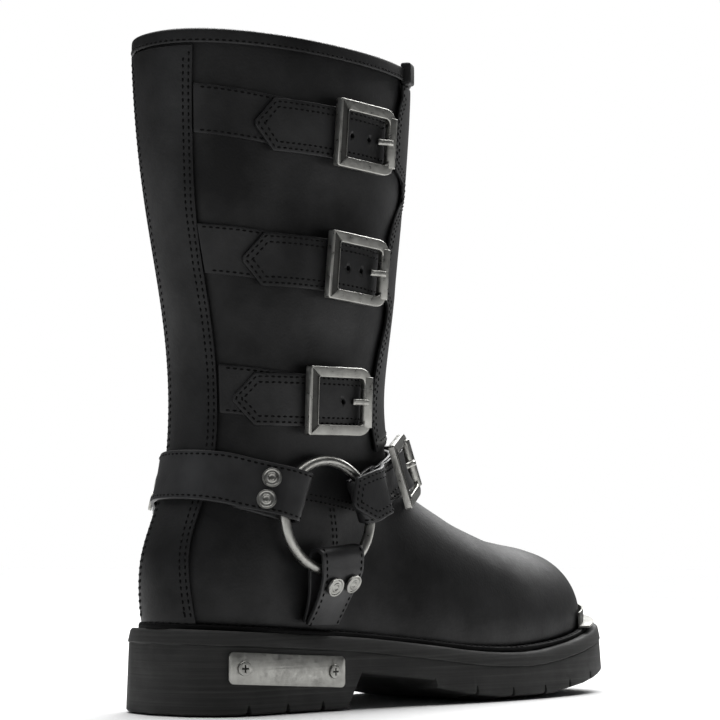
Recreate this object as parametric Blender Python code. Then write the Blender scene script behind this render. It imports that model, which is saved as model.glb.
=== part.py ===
"""A right-foot harness motorcycle boot, modelled as the pieces that a boot maker joins.

The boot stands on its sole. While it is worked out, x runs from the back of the sole to the toe,
y to the wearer's left (the inner, medial side) and z up from the floor, all in millimetres.
The meshes are in metres, and a parent empty moves the whole boot over the middle of its sole.
"""

import math

import bmesh
import bpy
import numpy as np

MM = 0.001
GAP = 0.3

# Driving dimensions
SOLE_LENGTH = 312.0
HEEL_ROUND = 36.0
TOE_ROUND = 80.0
HEEL_BREAST = 88.0
MIDSOLE_THICKNESS = 6.0
WELT_LEDGE = 8.0
FOOT_START = 18.0
TOE_LEDGE = 12.0
COLLAR_HEIGHT = 310.5
COLLAR_FALL = 0.021
WALL = 2.4
PANEL = 1.5


class Table:
    """Rows of sizes under named columns, read along the first column on a smooth curve."""

    def __init__(self, columns, *rows):
        values = np.array(rows, float).T
        self.at = values[0]
        self.columns = dict(zip(columns.split(), values))

    def read(self, column, where):
        x, y = self.at, self.columns[column]
        step = np.diff(x)
        slope = np.diff(y) / step
        tangent = np.empty_like(y)
        tangent[0], tangent[-1] = slope[0], slope[-1]
        tangent[1:-1] = (slope[:-1] * step[1:] + slope[1:] * step[:-1]) / (step[:-1] + step[1:])
        where = np.clip(where, x[0], x[-1])
        i = np.clip(np.searchsorted(x, where) - 1, 0, len(step) - 1)
        t = (where - x[i]) / step[i]
        return (
            (1 + 2 * t) * (1 - t) ** 2 * y[i]
            + t * (1 - t) ** 2 * step[i] * tangent[i]
            + t * t * (3 - 2 * t) * y[i + 1]
            - t * t * (1 - t) * step[i] * tangent[i + 1]
        )


# The last from above and from the side: the line its sole swings along, half the sole's width,
# and the height of the foot's ridge above the floor.
LAST = Table(
    "x centre half ridge",
    (0, 0.0, 38.0, 42),
    (40, 0.0, 38.0, 68),
    (85, -0.5, 38.5, 99),
    (125, -1.5, 41.0, 111),
    (150, -1.7, 44.0, 106),
    (180, 0.0, 48.6, 94.5),
    (215, 3.3, 52.0, 82.4),
    (245, 6.9, 52.0, 78.1),
    (275, 8.4, 53.0, 76.8),
    (312, 7.6, 53.0, 72.2),
)

# The sole from the side: the face that the upper stands on, and the tread.
SOLE = Table(
    "x top",
    (0, 39.6),
    (50, 36.6),
    (98, 33.6),
    (140, 29.2),
    (180, 24.6),
    (215, 23.6),
    (250, 27.0),
    (285, 33.0),
    (312, 37.7),
)

# The leg from heel seat to collar: the back line, the shin line and half the width on each side.
LEG = Table(
    "z back front lateral medial",
    (30, 7.6, 97, 28, 29),
    (48, 4.4, 106.5, 32.6, 32.8),
    (70, 4.4, 116.5, 34, 34.2),
    (95, 13.6, 124, 34, 34.2),
    (108, 18.4, 127.2, 34, 34),
    (120, 20.6, 130, 34.4, 34.8),
    (150, 22, 134.5, 36, 36.5),
    (185, 18, 141.8, 38.5, 39),
    (225, 8.4, 148, 40.5, 41),
    (265, 2, 153.4, 42.5, 43),
    (300, -0.8, 155.6, 44, 44),
    (320, -1.2, 155.4, 44.5, 44.5),
)

# Level lines of the upper, from the feather line at the sole to the collar: the height at the
# heel, the point of the ridge or shin that they climb to, and how far they follow the sole's curve.
LEVELS = Table(
    "level back front_x front follow nose",
    (0, 40.2, 300, 36.3, 1.0, 52),
    (1, 46, 300, 42.5, 1.0, 52),
    (2, 53, 299.5, 50, 1.0, 52),
    (3, 60, 297.5, 57.5, 1.0, 52),
    (4, 66, 292, 65, 1.0, 52),
    (5, 71, 282, 71.5, 1.0, 50),
    (6, 75.5, 266, 76.5, 1.0, 48),
    (7, 80, 246, 78.2, 1.0, 46),
    (8, 84.5, 225, 80.2, 1.0, 44),
    (9, 89, 204, 85.6, 0.9, 42),
    (10, 94, 184, 93, 0.8, 40),
    (11, 99.5, 166, 102, 0.6, 38),
    (12, 106, 151, 112, 0.4, 37),
    (13, 114, 140, 124, 0.2, 36),
    (14, 125, 135, 138, 0, 36),
    (15, 140, 134.5, 154, 0, 36),
    (16, 158, 137, 172, 0, 36),
    (17, 180, 141, 192, 0, 36),
    (18, 205, 145, 214, 0, 36),
    (19, 232, 149, 239, 0, 36),
    (20, 260, 152.5, 264, 0, 36),
    (21, 287, 155, 289, 0, 36),
    (22, COLLAR_HEIGHT, 155, COLLAR_HEIGHT, 0, 36),
)
COLLAR_LEVEL = 22.0
LEVEL_HINGE_X = 60.0
REAR_NOSE = 36.0
LEG_CENTRE_X = 76.0
LEG_ROUNDNESS = 2.2
FOOT_ROUNDNESS = 2.3
RIDGE_ROUNDNESS = 2.1
FURTHEST_SKIN = 240.0


def rounded_end(along, start, end, power):
    """1 up to start, then down to 0 at end along a quarter of a superellipse."""
    share = np.clip((along - start) / (end - start), 0.0, 1.0)
    return (1.0 - share**power) ** (1.0 / power)


def sole_top(x):
    return SOLE.read("top", x)


def sole_half(x):
    """Half the sole's width at x, closing in round ends at heel and toe."""
    toe = rounded_end(x, SOLE_LENGTH - TOE_ROUND, SOLE_LENGTH, 2.2)
    heel = rounded_end(-x, -HEEL_ROUND, 0.0, 2.3)
    return LAST.read("half", x) * toe * heel


def foot_distance(x, y, z):
    """Roughly how far a point is outside the foot: a dome over the last's outline."""
    tip = SOLE_LENGTH - TOE_LEDGE
    start = SOLE_LENGTH - TOE_ROUND
    rise = np.maximum(z - sole_top(x), 0.0)
    tuck = 1.0 - 0.05 * (1.0 - np.clip(rise / 14.0, 0.0, 1.0)) ** 2
    ends = rounded_end(x, start, tip, 2.2) * rounded_end(-x, -60.0, -FOOT_START, 2.2)
    half = (LAST.read("half", x) - WELT_LEDGE) * ends * tuck + 0.1
    ridge = (LAST.read("ridge", x) - sole_top(x)) * rounded_end(x, start, tip, 3.2) + 0.1
    across = np.abs(y - LAST.read("centre", x)) / half
    size = (across**FOOT_ROUNDNESS + (rise / ridge) ** RIDGE_ROUNDNESS) ** (1 / FOOT_ROUNDNESS)
    inside = (np.minimum(size, 20.0) - 1.0) * 42.0
    past = np.maximum(x - tip, FOOT_START - x)
    return np.where(past > 0, np.maximum(past, inside), inside)


def leg_distance(x, y, z):
    """Roughly how far a point is outside the leg: an oval tube from the heel seat up."""
    back, front = LEG.read("back", z), LEG.read("front", z)
    half = np.where(y < 0, LEG.read("lateral", z), LEG.read("medial", z))
    along = np.abs(x - (back + front) / 2) / ((front - back) / 2)
    size = (along**LEG_ROUNDNESS + (np.abs(y) / half) ** LEG_ROUNDNESS) ** (1 / LEG_ROUNDNESS)
    return (size - 1.0) * half


def skin_distance(x, y, z):
    """The foot and the leg melted together, with a wide fillet only at the instep."""
    blend = 4.0 + 7.0 * np.clip((z - 70.0) / 50.0, 0.0, 1.0)
    foot = np.clip(foot_distance(x, y, z) / blend, -60, 60)
    leg = np.clip(leg_distance(x, y, z) / blend, -60, 60)
    return -blend * np.log(np.exp(-foot) + np.exp(-leg))


def skin_reach(x, direction, height_at):
    """How far the skin is from the boot's middle line at x, towards direction (radians, from the toe)."""
    run, side = np.cos(direction), np.sin(direction)
    low = np.zeros_like(direction)
    high = np.full_like(direction, FURTHEST_SKIN)
    for _ in range(40):
        middle = (low + high) / 2
        at = x + middle * run
        outside = skin_distance(at, middle * side, height_at(at)) > 0
        high = np.where(outside, middle, high)
        low = np.where(outside, low, middle)
    return low


def level_height(level, x):
    """Height of a level line at x: it follows the sole's curve, then climbs to its front point."""
    back, follow = LEVELS.read("back", level), LEVELS.read("follow", level)
    front_x = LEVELS.read("front_x", level)
    dip = follow * (sole_top(x) - sole_top(0.0))
    front_dip = follow * (sole_top(front_x) - sole_top(0.0))
    climb = np.maximum(x - LEVEL_HINGE_X, 0.0) / (front_x - LEVEL_HINGE_X)
    return back + dip + (LEVELS.read("front", level) - back - front_dip) * np.minimum(climb, 1.4) ** 3


def skin(level, turn):
    """Points of the upper's outer skin. turn runs 0 at the back, 0.25 lateral, 0.5 front, 0.75 medial."""
    level, turn = np.broadcast_arrays(np.asarray(level, float), np.asarray(turn, float))
    start = np.full(level.shape, LEG_CENTRE_X)
    height = lambda x: level_height(level, x)
    rear = start - skin_reach(start, np.full(level.shape, math.pi), height) + REAR_NOSE
    fore = start + skin_reach(start, np.zeros(level.shape), height) - LEVELS.read("nose", level)
    half_turn = np.where(turn > 0.5, 1.0 - turn, turn)
    side = np.where(turn > 0.5, 1.0, -1.0)
    arc = 0.16
    rear_share = np.clip(half_turn / arc, 0, 1)
    fore_share = np.clip((half_turn - (0.5 - arc)) / arc, 0, 1)
    along = np.clip((half_turn - arc) / (0.5 - 2 * arc), 0, 1)
    origin = rear * (1 - along) + fore * along
    direction = side * (math.pi - (rear_share + fore_share) * math.pi / 2)
    reach = skin_reach(origin, direction, height)
    x = origin + reach * np.cos(direction)
    return np.stack([x, reach * np.sin(direction), level_height(level, x)], axis=-1)


def skin_slope(points):
    """How fast the skin distance grows in x, y and z near these points."""
    step = 0.5
    moves = np.eye(3) * step
    ahead = [skin_distance(*np.moveaxis(points + move, -1, 0)) for move in moves]
    behind = [skin_distance(*np.moveaxis(points - move, -1, 0)) for move in moves]
    return (np.stack(ahead, axis=-1) - np.stack(behind, axis=-1)) / (2 * step)


def onto_skin(points):
    """Points moved onto the skin, and the outward directions there."""
    points = np.array(points, float)
    for _ in range(10):
        slope = skin_slope(points)
        square = np.sum(slope**2, axis=-1, keepdims=True)
        points = points - slope * skin_distance(*np.moveaxis(points, -1, 0))[..., None] / square
    return points, unit(slope)


def unit(vectors):
    return vectors / np.linalg.norm(vectors, axis=-1, keepdims=True)


def clear_scene():
    for obj in list(bpy.data.objects):
        bpy.data.objects.remove(obj)


def material(name, colour, roughness, metallic=0.0):
    made = bpy.data.materials.get(name)
    if made is None:
        made = bpy.data.materials.new(name)
        made.use_nodes = True
        shader = made.node_tree.nodes["Principled BSDF"]
        shader.inputs["Base Color"].default_value = (*colour, 1.0)
        shader.inputs["Roughness"].default_value = roughness
        shader.inputs["Metallic"].default_value = metallic
    return made


def leather():
    return material("black leather", (0.012, 0.012, 0.013), 0.45)


def rubber():
    return material("black rubber", (0.022, 0.022, 0.021), 0.7)


def nickel():
    return material("antique nickel", (0.42, 0.42, 0.40), 0.35, 1.0)


def add_piece(name, points, faces, finish):
    """One closed piece from points in millimetres, under the boot's empty."""
    mesh = bpy.data.meshes.new(name)
    mesh.from_pydata([tuple(np.asarray(p) * MM) for p in points], [], [tuple(f) for f in faces])
    work = bmesh.new()
    work.from_mesh(mesh)
    bmesh.ops.recalc_face_normals(work, faces=work.faces)
    work.to_mesh(mesh)
    work.free()
    mesh.materials.append(finish)
    mesh.shade_smooth()
    mesh.set_sharp_from_angle(angle=math.radians(40))
    obj = bpy.data.objects.new(name, mesh)
    bpy.context.scene.collection.objects.link(obj)
    obj.parent = bpy.data.objects["boot"]
    return obj


def ring_faces(rows, columns, closed=True):
    """Quads of a grid of points stored row by row, joined round when closed."""
    wide = columns if closed else columns - 1
    return [
        (
            row * columns + column,
            row * columns + (column + 1) % columns,
            (row + 1) * columns + (column + 1) % columns,
            (row + 1) * columns + column,
        )
        for row in range(rows - 1)
        for column in range(wide)
    ]


def shell(name, outer, inner, finish, closed):
    """A wall between two grids of points of the same shape."""
    rows, columns = outer.shape[:2]
    count = rows * columns
    points = np.concatenate([outer.reshape(-1, 3), inner.reshape(-1, 3)])
    faces = ring_faces(rows, columns, closed)
    faces += [tuple(i + count for i in reversed(f)) for f in faces]
    last = (rows - 1) * columns
    wide = columns if closed else columns - 1
    for i in range(wide):
        j = (i + 1) % columns
        faces.append((j, i, i + count, j + count))
        faces.append((last + i, last + j, last + j + count, last + i + count))
    if not closed:
        for row in range(rows - 1):
            a, b = row * columns, (row + 1) * columns
            faces.append((a, b, b + count, a + count))
            a, b = a + columns - 1, b + columns - 1
            faces.append((b, a, a + count, b + count))
    return add_piece(name, points, faces, finish)


UPPER_COLUMNS = 36
INSOLE_THICKNESS = 3.0


def collar_height(x):
    """Height of the collar's edge, which falls a little towards the shin."""
    return COLLAR_HEIGHT - COLLAR_FALL * (x - LEG_CENTRE_X)


def upper_grid(levels, offset=0.0, turns=None):
    """The skin at these levels, all the way round unless turns are given, moved outwards by offset."""
    if turns is None:
        turns = np.arange(UPPER_COLUMNS) / UPPER_COLUMNS
    points = skin(np.asarray(levels, float).reshape(-1, 1), np.atleast_2d(turns) % 1.0)
    return points + unit(skin_slope(points)) * offset


def add_upper():
    """The closed upper: one leather wall from the feather line to the collar."""
    levels = np.arange(COLLAR_LEVEL + 1)
    inner = upper_grid(levels, -WALL)
    inner[0, :, 2] = np.maximum(inner[0, :, 2], sole_top(inner[0, :, 0]) + GAP)
    outer = upper_grid(levels)
    for grid in (inner, outer):
        grid[-1, :, 2] = collar_height(grid[-1, :, 0])
    shell("upper", outer, inner, leather(), closed=True)


def add_insole():
    """The insole board, inside the bottom of the upper."""
    edge = upper_grid([0.0], -WALL - 0.8)[0]
    count = len(edge)
    low, high = edge.copy(), edge.copy()
    low[:, 2] = sole_top(edge[:, 0]) + 2 * GAP
    high[:, 2] = low[:, 2] + INSOLE_THICKNESS
    faces = ring_faces(2, count)
    for i in range(count // 2):
        strip = list(dict.fromkeys([i, i + 1, (count - i - 1) % count, (count - i) % count]))
        faces += [tuple(reversed(strip)), tuple(count + k for k in strip)]
    add_piece("insole", np.concatenate([low, high]), faces, leather())


COLLAR_BINDING_HEIGHT = 5.8
PANEL_LIFT = 0.8

# The panels stitched over the upper: how far they reach round it at each level. The front panel's
# edge swings out to meet the three straps and in between them.
BACK_PANEL = Table(
    "level reach",
    (0, 0.055),
    (3, 0.049),
    (6, 0.044),
    (9, 0.042),
    (12, 0.044),
    (14, 0.0465),
    (16, 0.046),
    (19, 0.0465),
    (20, 0.053),
    (22, 0.061),
)
FRONT_PANEL = Table(
    "level reach",
    (13.4, 0.125),
    (14.4, 0.135),
    (15.2, 0.138),
    (16.0, 0.138),
    (16.5, 0.131),
    (17.0, 0.118),
    (17.35, 0.121),
    (17.65, 0.148),
    (18.1, 0.148),
    (18.6, 0.143),
    (19.0, 0.130),
    (19.4, 0.090),
    (19.7, 0.104),
    (19.95, 0.147),
    (20.5, 0.152),
    (21.0, 0.149),
    (21.3, 0.136),
    (21.6, 0.137),
)
BACK_PANEL_TOP = 21.77
BACK_PANEL_COLUMNS, FRONT_PANEL_COLUMNS = 7, 13


def add_panel(name, table, levels, middle, columns):
    """A leather panel between two skins, reaching the same way to both sides of its middle line."""
    reach = table.read("reach", levels)
    turns = middle + reach[:, None] * np.linspace(-1, 1, columns)[None, :]
    inner = upper_grid(levels, PANEL_LIFT, turns)
    outer = upper_grid(levels, PANEL_LIFT + PANEL, turns)
    shell(name, outer, inner, leather(), closed=False)


def add_panels():
    back = np.concatenate([[0.5], np.arange(1.0, COLLAR_LEVEL), [BACK_PANEL_TOP]])
    add_panel("back_panel", BACK_PANEL, back, 0.0, BACK_PANEL_COLUMNS)
    add_panel("front_panel", FRONT_PANEL, FRONT_PANEL.at, 0.5, FRONT_PANEL_COLUMNS)


def panel_edge(table, middle, z):
    """A point of the lateral edge of a panel, at a height on the shaft."""
    level = np.interp(z, LEVELS.columns["back"], LEVELS.at)
    return skin(level, abs(middle - table.read("reach", level)))


def add_collar_binding():
    """The folded leather strip over the top edge of the collar."""
    outer = upper_grid([COLLAR_LEVEL])[0]
    out = unit(skin_slope(outer) * np.array([1, 1, 0]))
    low = -COLLAR_BINDING_HEIGHT
    profile = [
        (PANEL_LIFT, low),
        (PANEL_LIFT + PANEL, low),
        (PANEL_LIFT + PANEL, 0.6),
        (-WALL / 2, 1.8),
        (-WALL - PANEL_LIFT - PANEL, 0.6),
        (-WALL - PANEL_LIFT - PANEL, low),
        (-WALL - PANEL_LIFT, low),
        (-WALL - PANEL_LIFT, GAP),
        (PANEL_LIFT, GAP),
    ]
    loops = [outer + out * offset for offset, _ in profile]
    for loop, (_, rise) in zip(loops, profile):
        loop[:, 2] = collar_height(loop[:, 0]) + rise
    faces = ring_faces(len(loops) + 1, len(outer))
    count = len(loops) * len(outer)
    faces = [tuple(i % count for i in face) for face in faces]
    add_piece("collar_binding", np.concatenate(loops), faces, leather())


# Stations along the sole, closer together at its round ends.
STATION_COUNT = 32


def sole_stations(extra=()):
    even = (1 - np.cos(np.linspace(0, math.pi, STATION_COUNT))) / 2 * SOLE_LENGTH
    extra = np.asarray(extra, float)
    clear = [x for x in even if extra.size == 0 or np.min(np.abs(extra - x)) > 2.0]
    return np.unique(np.concatenate([clear, extra]))


def sole_outline(stations, inset):
    """Lateral points from heel to toe and medial points back, moved in by inset."""
    centre, half = LAST.read("centre", stations), sole_half(stations)
    lateral = np.stack([stations, centre - half], axis=1)
    medial = np.stack([stations, centre + half], axis=1)[::-1]
    loop = np.concatenate([lateral, medial[1:-1]])
    tangent = unit(np.roll(loop, -1, axis=0) - np.roll(loop, 1, axis=0))
    inwards = np.stack([-tangent[:, 1], tangent[:, 0]], axis=1)
    return loop + inwards * inset


def sole_layer(name, stations, layers, finish):
    """A layer of the sole lofted through (inset, height at x) outlines from the bottom up."""
    loops = []
    for inset, height_at in layers:
        loop = sole_outline(stations, inset)
        loops.append(np.column_stack([loop, height_at(np.clip(loop[:, 0], 0, SOLE_LENGTH))]))
    count = len(loops[0])
    faces = ring_faces(len(loops), count)
    top = (len(loops) - 1) * count
    for i in range(len(stations) - 1):
        strip = list(dict.fromkeys([i, i + 1, (count - i - 1) % count, (count - i) % count]))
        faces += [tuple(reversed(strip)), tuple(top + k for k in strip)]
    return add_piece(name, np.concatenate(loops), faces, finish)


# The tread from the side: heel, breast, arch, step of the first lug, ball and toe spring.
TREAD = (
    (0, 0),
    (HEEL_BREAST, 0),
    (97, 16.5),
    (143, 11.5),
    (144.5, 7.5),
    (168, 2.5),
    (186, 0),
    (232, 0),
    (262, 4.0),
    (290, 9.2),
    (312, 14.5),
)
EDGE_RISE = ((0, 0.8), (140, 0.8), (180, 2.6), (240, 2.6), (300, 1.2))
LUG_DEPTH = 4.2
LUG_GROOVE = 0.8
LUG_LEAN = 2.3
HEEL_LUGS = (26, 49.5, 72)
FORE_LUGS = (170.5, 196.5, 223, 247, 270)
SIDE_LUG_LENGTH = 19.0


def tread_height(x):
    return np.interp(x, *np.array(TREAD, float).T)


def edge_height(x):
    return tread_height(x) + np.interp(x, *np.array(EDGE_RISE, float).T)


def midsole_bottom(x):
    return sole_top(x) - MIDSOLE_THICKNESS


def groove(x, y, length, across, depth, lean=1.2):
    """Corners of one groove cutter under the tread, narrower at its top."""
    corners = []
    for height, half in ((-3.0, across / 2 + lean), (depth, across / 2)):
        for dx, dy in ((-1, -1), (1, -1), (1, 1), (-1, 1)):
            corners.append((x + dx * half, y + dy * length / 2, height))
    return corners


def add_outsole():
    """The outsole and heel block in one, with lugs cut out of its tread."""
    outsole = sole_layer(
        "outsole",
        sole_stations([row[0] for row in TREAD]),
        [
            (13.0, tread_height),
            (0.8, edge_height),
            (0.0, lambda x: edge_height(x) + 1.0),
            (1.0, lambda x: midsole_bottom(x) - GAP - 0.9),
            (1.8, lambda x: midsole_bottom(x) - GAP),
        ],
        rubber(),
    )
    corners = []
    for lugs, inner in ((HEEL_LUGS, 22.0), (FORE_LUGS, 30.0)):
        for x in lugs:
            half, centre = sole_half(x), LAST.read("centre", x)
            depth = edge_height(x) + LUG_DEPTH
            for side in (-1, 1):
                y = centre + side * (half + 4.0 - SIDE_LUG_LENGTH / 2)
                corners += groove(x, y, SIDE_LUG_LENGTH, LUG_GROOVE, depth, LUG_LEAN)
    for start, end in zip(FORE_LUGS, FORE_LUGS[1:]):
        x = (start + end) / 2
        corners += groove(x, LAST.read("centre", x), 26.0, 3.0, tread_height(x) + 3.0)
    for start, end in zip(HEEL_LUGS, HEEL_LUGS[1:]):
        x = (start + end) / 2
        corners += groove(x, LAST.read("centre", x), 22.0, 3.0, 3.0)
    faces = []
    for k in range(0, len(corners), 8):
        faces += [(k + 3, k + 2, k + 1, k), (k + 4, k + 5, k + 6, k + 7)]
        faces += [(k + i, k + (i + 1) % 4, k + 4 + (i + 1) % 4, k + 4 + i) for i in range(4)]
    cutter = add_piece("lug_cutter", corners, faces, rubber())
    cutter.display_type = "WIRE"
    cutter.hide_render = True
    cut = outsole.modifiers.new("lugs", "BOOLEAN")
    cut.operation = "DIFFERENCE"
    cut.solver = "EXACT"
    cut.object = cutter


def add_soles():
    sole_layer(
        "midsole",
        sole_stations(),
        [
            (2.4, midsole_bottom),
            (1.4, lambda x: midsole_bottom(x) + 0.9),
            (1.6, lambda x: sole_top(x) - 1.2),
            (2.6, sole_top),
        ],
        rubber(),
    )
    add_outsole()


WELT_WIDTH = 4.0
WELT_THICKNESS = 2.4


def add_welt():
    """The stitched leather strip that lies on the sole round the upper."""
    edge = upper_grid([0.45])[0]
    out = unit(skin_slope(edge) * np.array([1, 1, 0]))
    profile = [(0.4, GAP), (WELT_WIDTH, GAP), (WELT_WIDTH, 1.8), (WELT_WIDTH - 0.8, WELT_THICKNESS)]
    profile.append((0.4, WELT_THICKNESS))
    loops = []
    for offset, height in profile:
        loop = edge + out * offset
        loop[:, 2] = sole_top(np.clip(loop[:, 0], 0, SOLE_LENGTH)) + height
        loops.append(loop)
    count = len(loops) * len(edge)
    faces = [tuple(i % count for i in face) for face in ring_faces(len(loops) + 1, len(edge))]
    add_piece("welt", np.concatenate(loops), faces, leather())


class Line:
    """A smooth line laid on the skin through a few points, measured from its first one."""

    def __init__(self, *points):
        points = np.array(points, float)
        along = np.concatenate([[0], np.cumsum(np.linalg.norm(np.diff(points, axis=0), axis=1))])
        guide = Table("at x y z", *np.column_stack([along, points]))
        fine = np.linspace(0, along[-1], 160)
        laid, _ = onto_skin(np.stack([guide.read(name, fine) for name in "xyz"], axis=1))
        steps = np.linalg.norm(np.diff(laid, axis=0), axis=1)
        at = np.concatenate([[0], np.cumsum(steps)])
        self.length = at[-1]
        self.guide = Table("at x y z", *np.column_stack([at, laid])[::3])

    def frame(self, along):
        """Places on the line with the directions along it, across it and out of the skin."""
        along = np.asarray(along, float)
        inside = np.clip(along, 0.5, self.length - 0.5)
        spot = lambda at: np.stack([self.guide.read(name, at) for name in "xyz"], axis=-1)
        ahead = unit(spot(inside + 0.5) - spot(inside - 0.5))
        place = spot(inside) + ahead * (along - inside)[..., None]
        place, out = onto_skin(place)
        across = unit(np.cross(out, ahead))
        return place, np.cross(across, out), across, out

    def lay(self, along, across, lift):
        """Points at distances along and across the line, lifted off the skin."""
        place, _, side, _ = self.frame(along)
        place, out = onto_skin(place + side * np.asarray(across)[..., None])
        return place + out * np.asarray(lift)[..., None]


def spaced(path, step):
    """A path with its long pieces divided so that no piece is longer than step."""
    path = np.array(path, float)
    points = [path[0]]
    for start, end in zip(path, path[1:]):
        parts = max(1, math.ceil(np.linalg.norm(end - start) / step))
        points += [start + (end - start) * k / parts for k in range(1, parts + 1)]
    return np.array(points)


STRAP_THICKNESS = 2.0
STRAP_STEP = 8.5
STRAP_ROWS = 3
TILT_FADE = 10.0
AT_START = (-40.0, 4.0)


class Strap:
    """A leather strap along a line. path holds distances along it and heights above the skin.

    tilts hold, for each stretch of the strap that follows a ring or is cut askew, how far it runs
    along the strap and out of the skin for each millimetre across the strap.
    """

    def __init__(self, line, path, width, *tilts):
        self.line, self.width, self.tilts = line, width, tilts
        self.path = spaced(path, STRAP_STEP)

    def place(self, along, across, lift):
        """A point of the strap, turned with the ring where it is near one."""
        share = np.clip((lift - TUCK_LIFT) / STRAP_THICKNESS, 0.0, 1.0)
        shift, rise = 0.0, 0.0
        for (start, end), (run, climb) in self.tilts:
            away = np.maximum(start - along, along - end)
            near = np.clip(1.0 - away / TILT_FADE, 0.0, 1.0)
            shift = shift + near * run * across
            rise = rise + near * climb * across * share
        return self.line.lay(along + shift, across, lift + rise)

    def add(self, name):
        ahead = unit(np.gradient(self.path, axis=0))
        out = np.stack([-ahead[:, 1], ahead[:, 0]], axis=1) * STRAP_THICKNESS / 2
        widths = np.array([self.width(at) if callable(self.width) else self.width for at in self.path[:, 0]])
        across = np.linspace(-0.5, 0.5, STRAP_ROWS)[:, None] * widths[None, :]
        grids = []
        for side in (self.path + out, self.path - out):
            along = np.broadcast_to(side[:, 0], across.shape)
            lift = np.broadcast_to(side[:, 1], across.shape)
            grids.append(self.place(along, across, lift))
        return shell(name, grids[0], grids[1], leather(), closed=False)

    def add_rivet(self, name, along, across):
        """The head of a rivet on the outer face of the strap."""
        first, last = np.argmin(self.path[:, 0]), np.argmax(self.path[:, 0])
        outer = self.path[first : last + 1]
        at = np.array([along, along + 1.0, along])
        side = np.array([across, across, across + 1.0])
        lift = np.interp(at, outer[:, 0], outer[:, 1]) + STRAP_THICKNESS / 2 + RIVET_SEAT
        spots = self.place(at, side, lift)
        add_head(name, spots[0], spots[1] - spots[0], spots[2] - spots[0], RIVET_RADIUS)


# Straps of the shaft: height at the back seam and at the buckle, the buckle's place on the side,
# where the pointed end of the loose strap comes to, and how far that strap falls towards the front.
BASE_WIDTH = 22.5
TAIL_WIDTH = 24.5
TAIL_POINT = 9.0
BASE_LIFT = 1.6
BASE_PAST_BUCKLE = 8.0
TAIL_LIFT = 3.9
TAIL_RISE = 17.0
SEAM_GAP = 0.7
FALL_AT_BUCKLE = 0.56
SHAFT_STRAPS = (
    # name, height at the seam, height at the buckle, x of the buckle, x of the tip, fall
    ("top", 276.6, 269.4, 88.6, 28.7, 2.0),
    ("middle", 213.3, 207.0, 86.8, 28.5, 3.3),
    ("low", 149.0, 144.5, 77.8, 30.5, -1.0),
)


def side_line(z_start, z_end, x_start, x_end):
    """A line along the lateral side of the leg, between two places given by x."""
    share = np.linspace(0, 1, 9)
    x = x_start + (x_end - x_start) * share
    z = z_start + (z_end - z_start) * (1 - (1 - share) ** 2)
    back, front, half = (LEG.read(name, z) for name in ("back", "front", "lateral"))
    along = np.clip(np.abs(x - (back + front) / 2) / ((front - back) / 2), 0, 0.995)
    y = -half * (1 - along**LEG_ROUNDNESS) ** (1 / LEG_ROUNDNESS)
    return Line(*np.stack([x, y, z], axis=1))


def pointed(length, point, width, blunt=2.5):
    """The width of a strap whose far end runs to a blunt point."""
    return lambda at: blunt + (width - blunt) * min(1.0, max(0.0, length - at) / point)


def edge_skew(line, edge):
    """How far an edge runs along the start of a strap for each millimetre across it."""
    _, ahead, across, _ = (part[0] for part in line.frame(np.array([0.0])))
    return (edge @ ahead) / (edge @ across)


def add_shaft_straps():
    for name, z_seam, z_buckle, buckle_x, tip_x, fall in SHAFT_STRAPS:
        low, seam, high = (
            panel_edge(BACK_PANEL, 0.0, z_seam + side * BASE_WIDTH / 2) for side in (-1, 0, 1)
        )
        base = side_line(z_seam, z_buckle, seam[0], buckle_x + BASE_PAST_BUCKLE)
        path = [(SEAM_GAP, BASE_LIFT), (base.length, BASE_LIFT)]
        skew = (edge_skew(base, high - low), 0.0)
        Strap(base, path, BASE_WIDTH, (AT_START, skew)).add(name + "_base_strap")

        heights = z_buckle + np.linspace(-0.5, 0.5, 5) * TAIL_WIDTH
        front_x = min(panel_edge(FRONT_PANEL, 0.5, z)[0] for z in heights)
        z_front = z_buckle - FALL_AT_BUCKLE * fall
        tail = side_line(z_front, z_front + fall, front_x, tip_x)
        path = [(SEAM_GAP, PANEL_LIFT + STRAP_THICKNESS / 2), (TAIL_RISE, TAIL_LIFT)]
        path += [(tail.length - TAIL_POINT, TAIL_LIFT), (tail.length, TAIL_LIFT)]
        width = pointed(tail.length, TAIL_POINT, TAIL_WIDTH)
        Strap(tail, path, width).add(name + "_tail_strap")
        place = np.array([buckle_x, -LEG.read("lateral", z_buckle), z_buckle])
        at = np.argmin(np.linalg.norm(tail.frame(np.arange(0, tail.length))[0] - place, axis=1))
        add_buckle(name, tail, float(at), FRAME_LIFT)


# The buckle: a plain rectangular frame with a wide rear bar, and a prong that lies in the notch
# of the front bar. Lengths run along the strap, heights across it.
FRAME_LIFT = 5.2
FRAME_LENGTH = 41.0
FRAME_HEIGHT = 32.0
FRAME_THICKNESS = 3.2
REAR_BAR = 6.2
FRONT_BAR = 4.6
SIDE_BAR = 4.9
NOTCH_HALF = 2.3
NOTCH_DEPTH = 1.9
NOTCH_CORNERS = slice(4, 6)
FRAME_CHAMFER = 0.8
FRAME_CORNER = 6.0
REAR_CORNER = 0.7
WINDOW_CORNER = 2.5
PRONG_HALF = 1.5


def frame_loop(front, rear, half, corner):
    """Corner points of a buckle outline with a notch place in the front bar."""
    c = corner
    right = [(front - c, -half), (front - 0.3 * c, -half + 0.3 * c), (front, -half + c)]
    slope = NOTCH_HALF + GAP
    notch = [(front, -slope), (front, -NOTCH_HALF), (front, NOTCH_HALF), (front, slope)]
    top = [(front, half - c), (front - 0.3 * c, half - 0.3 * c), (front - c, half)]
    left = [(rear + REAR_CORNER, half), (rear, half - REAR_CORNER)]
    left += [(rear, -half + REAR_CORNER), (rear + REAR_CORNER, -half)]
    return np.array(right + notch + top + left)


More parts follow.
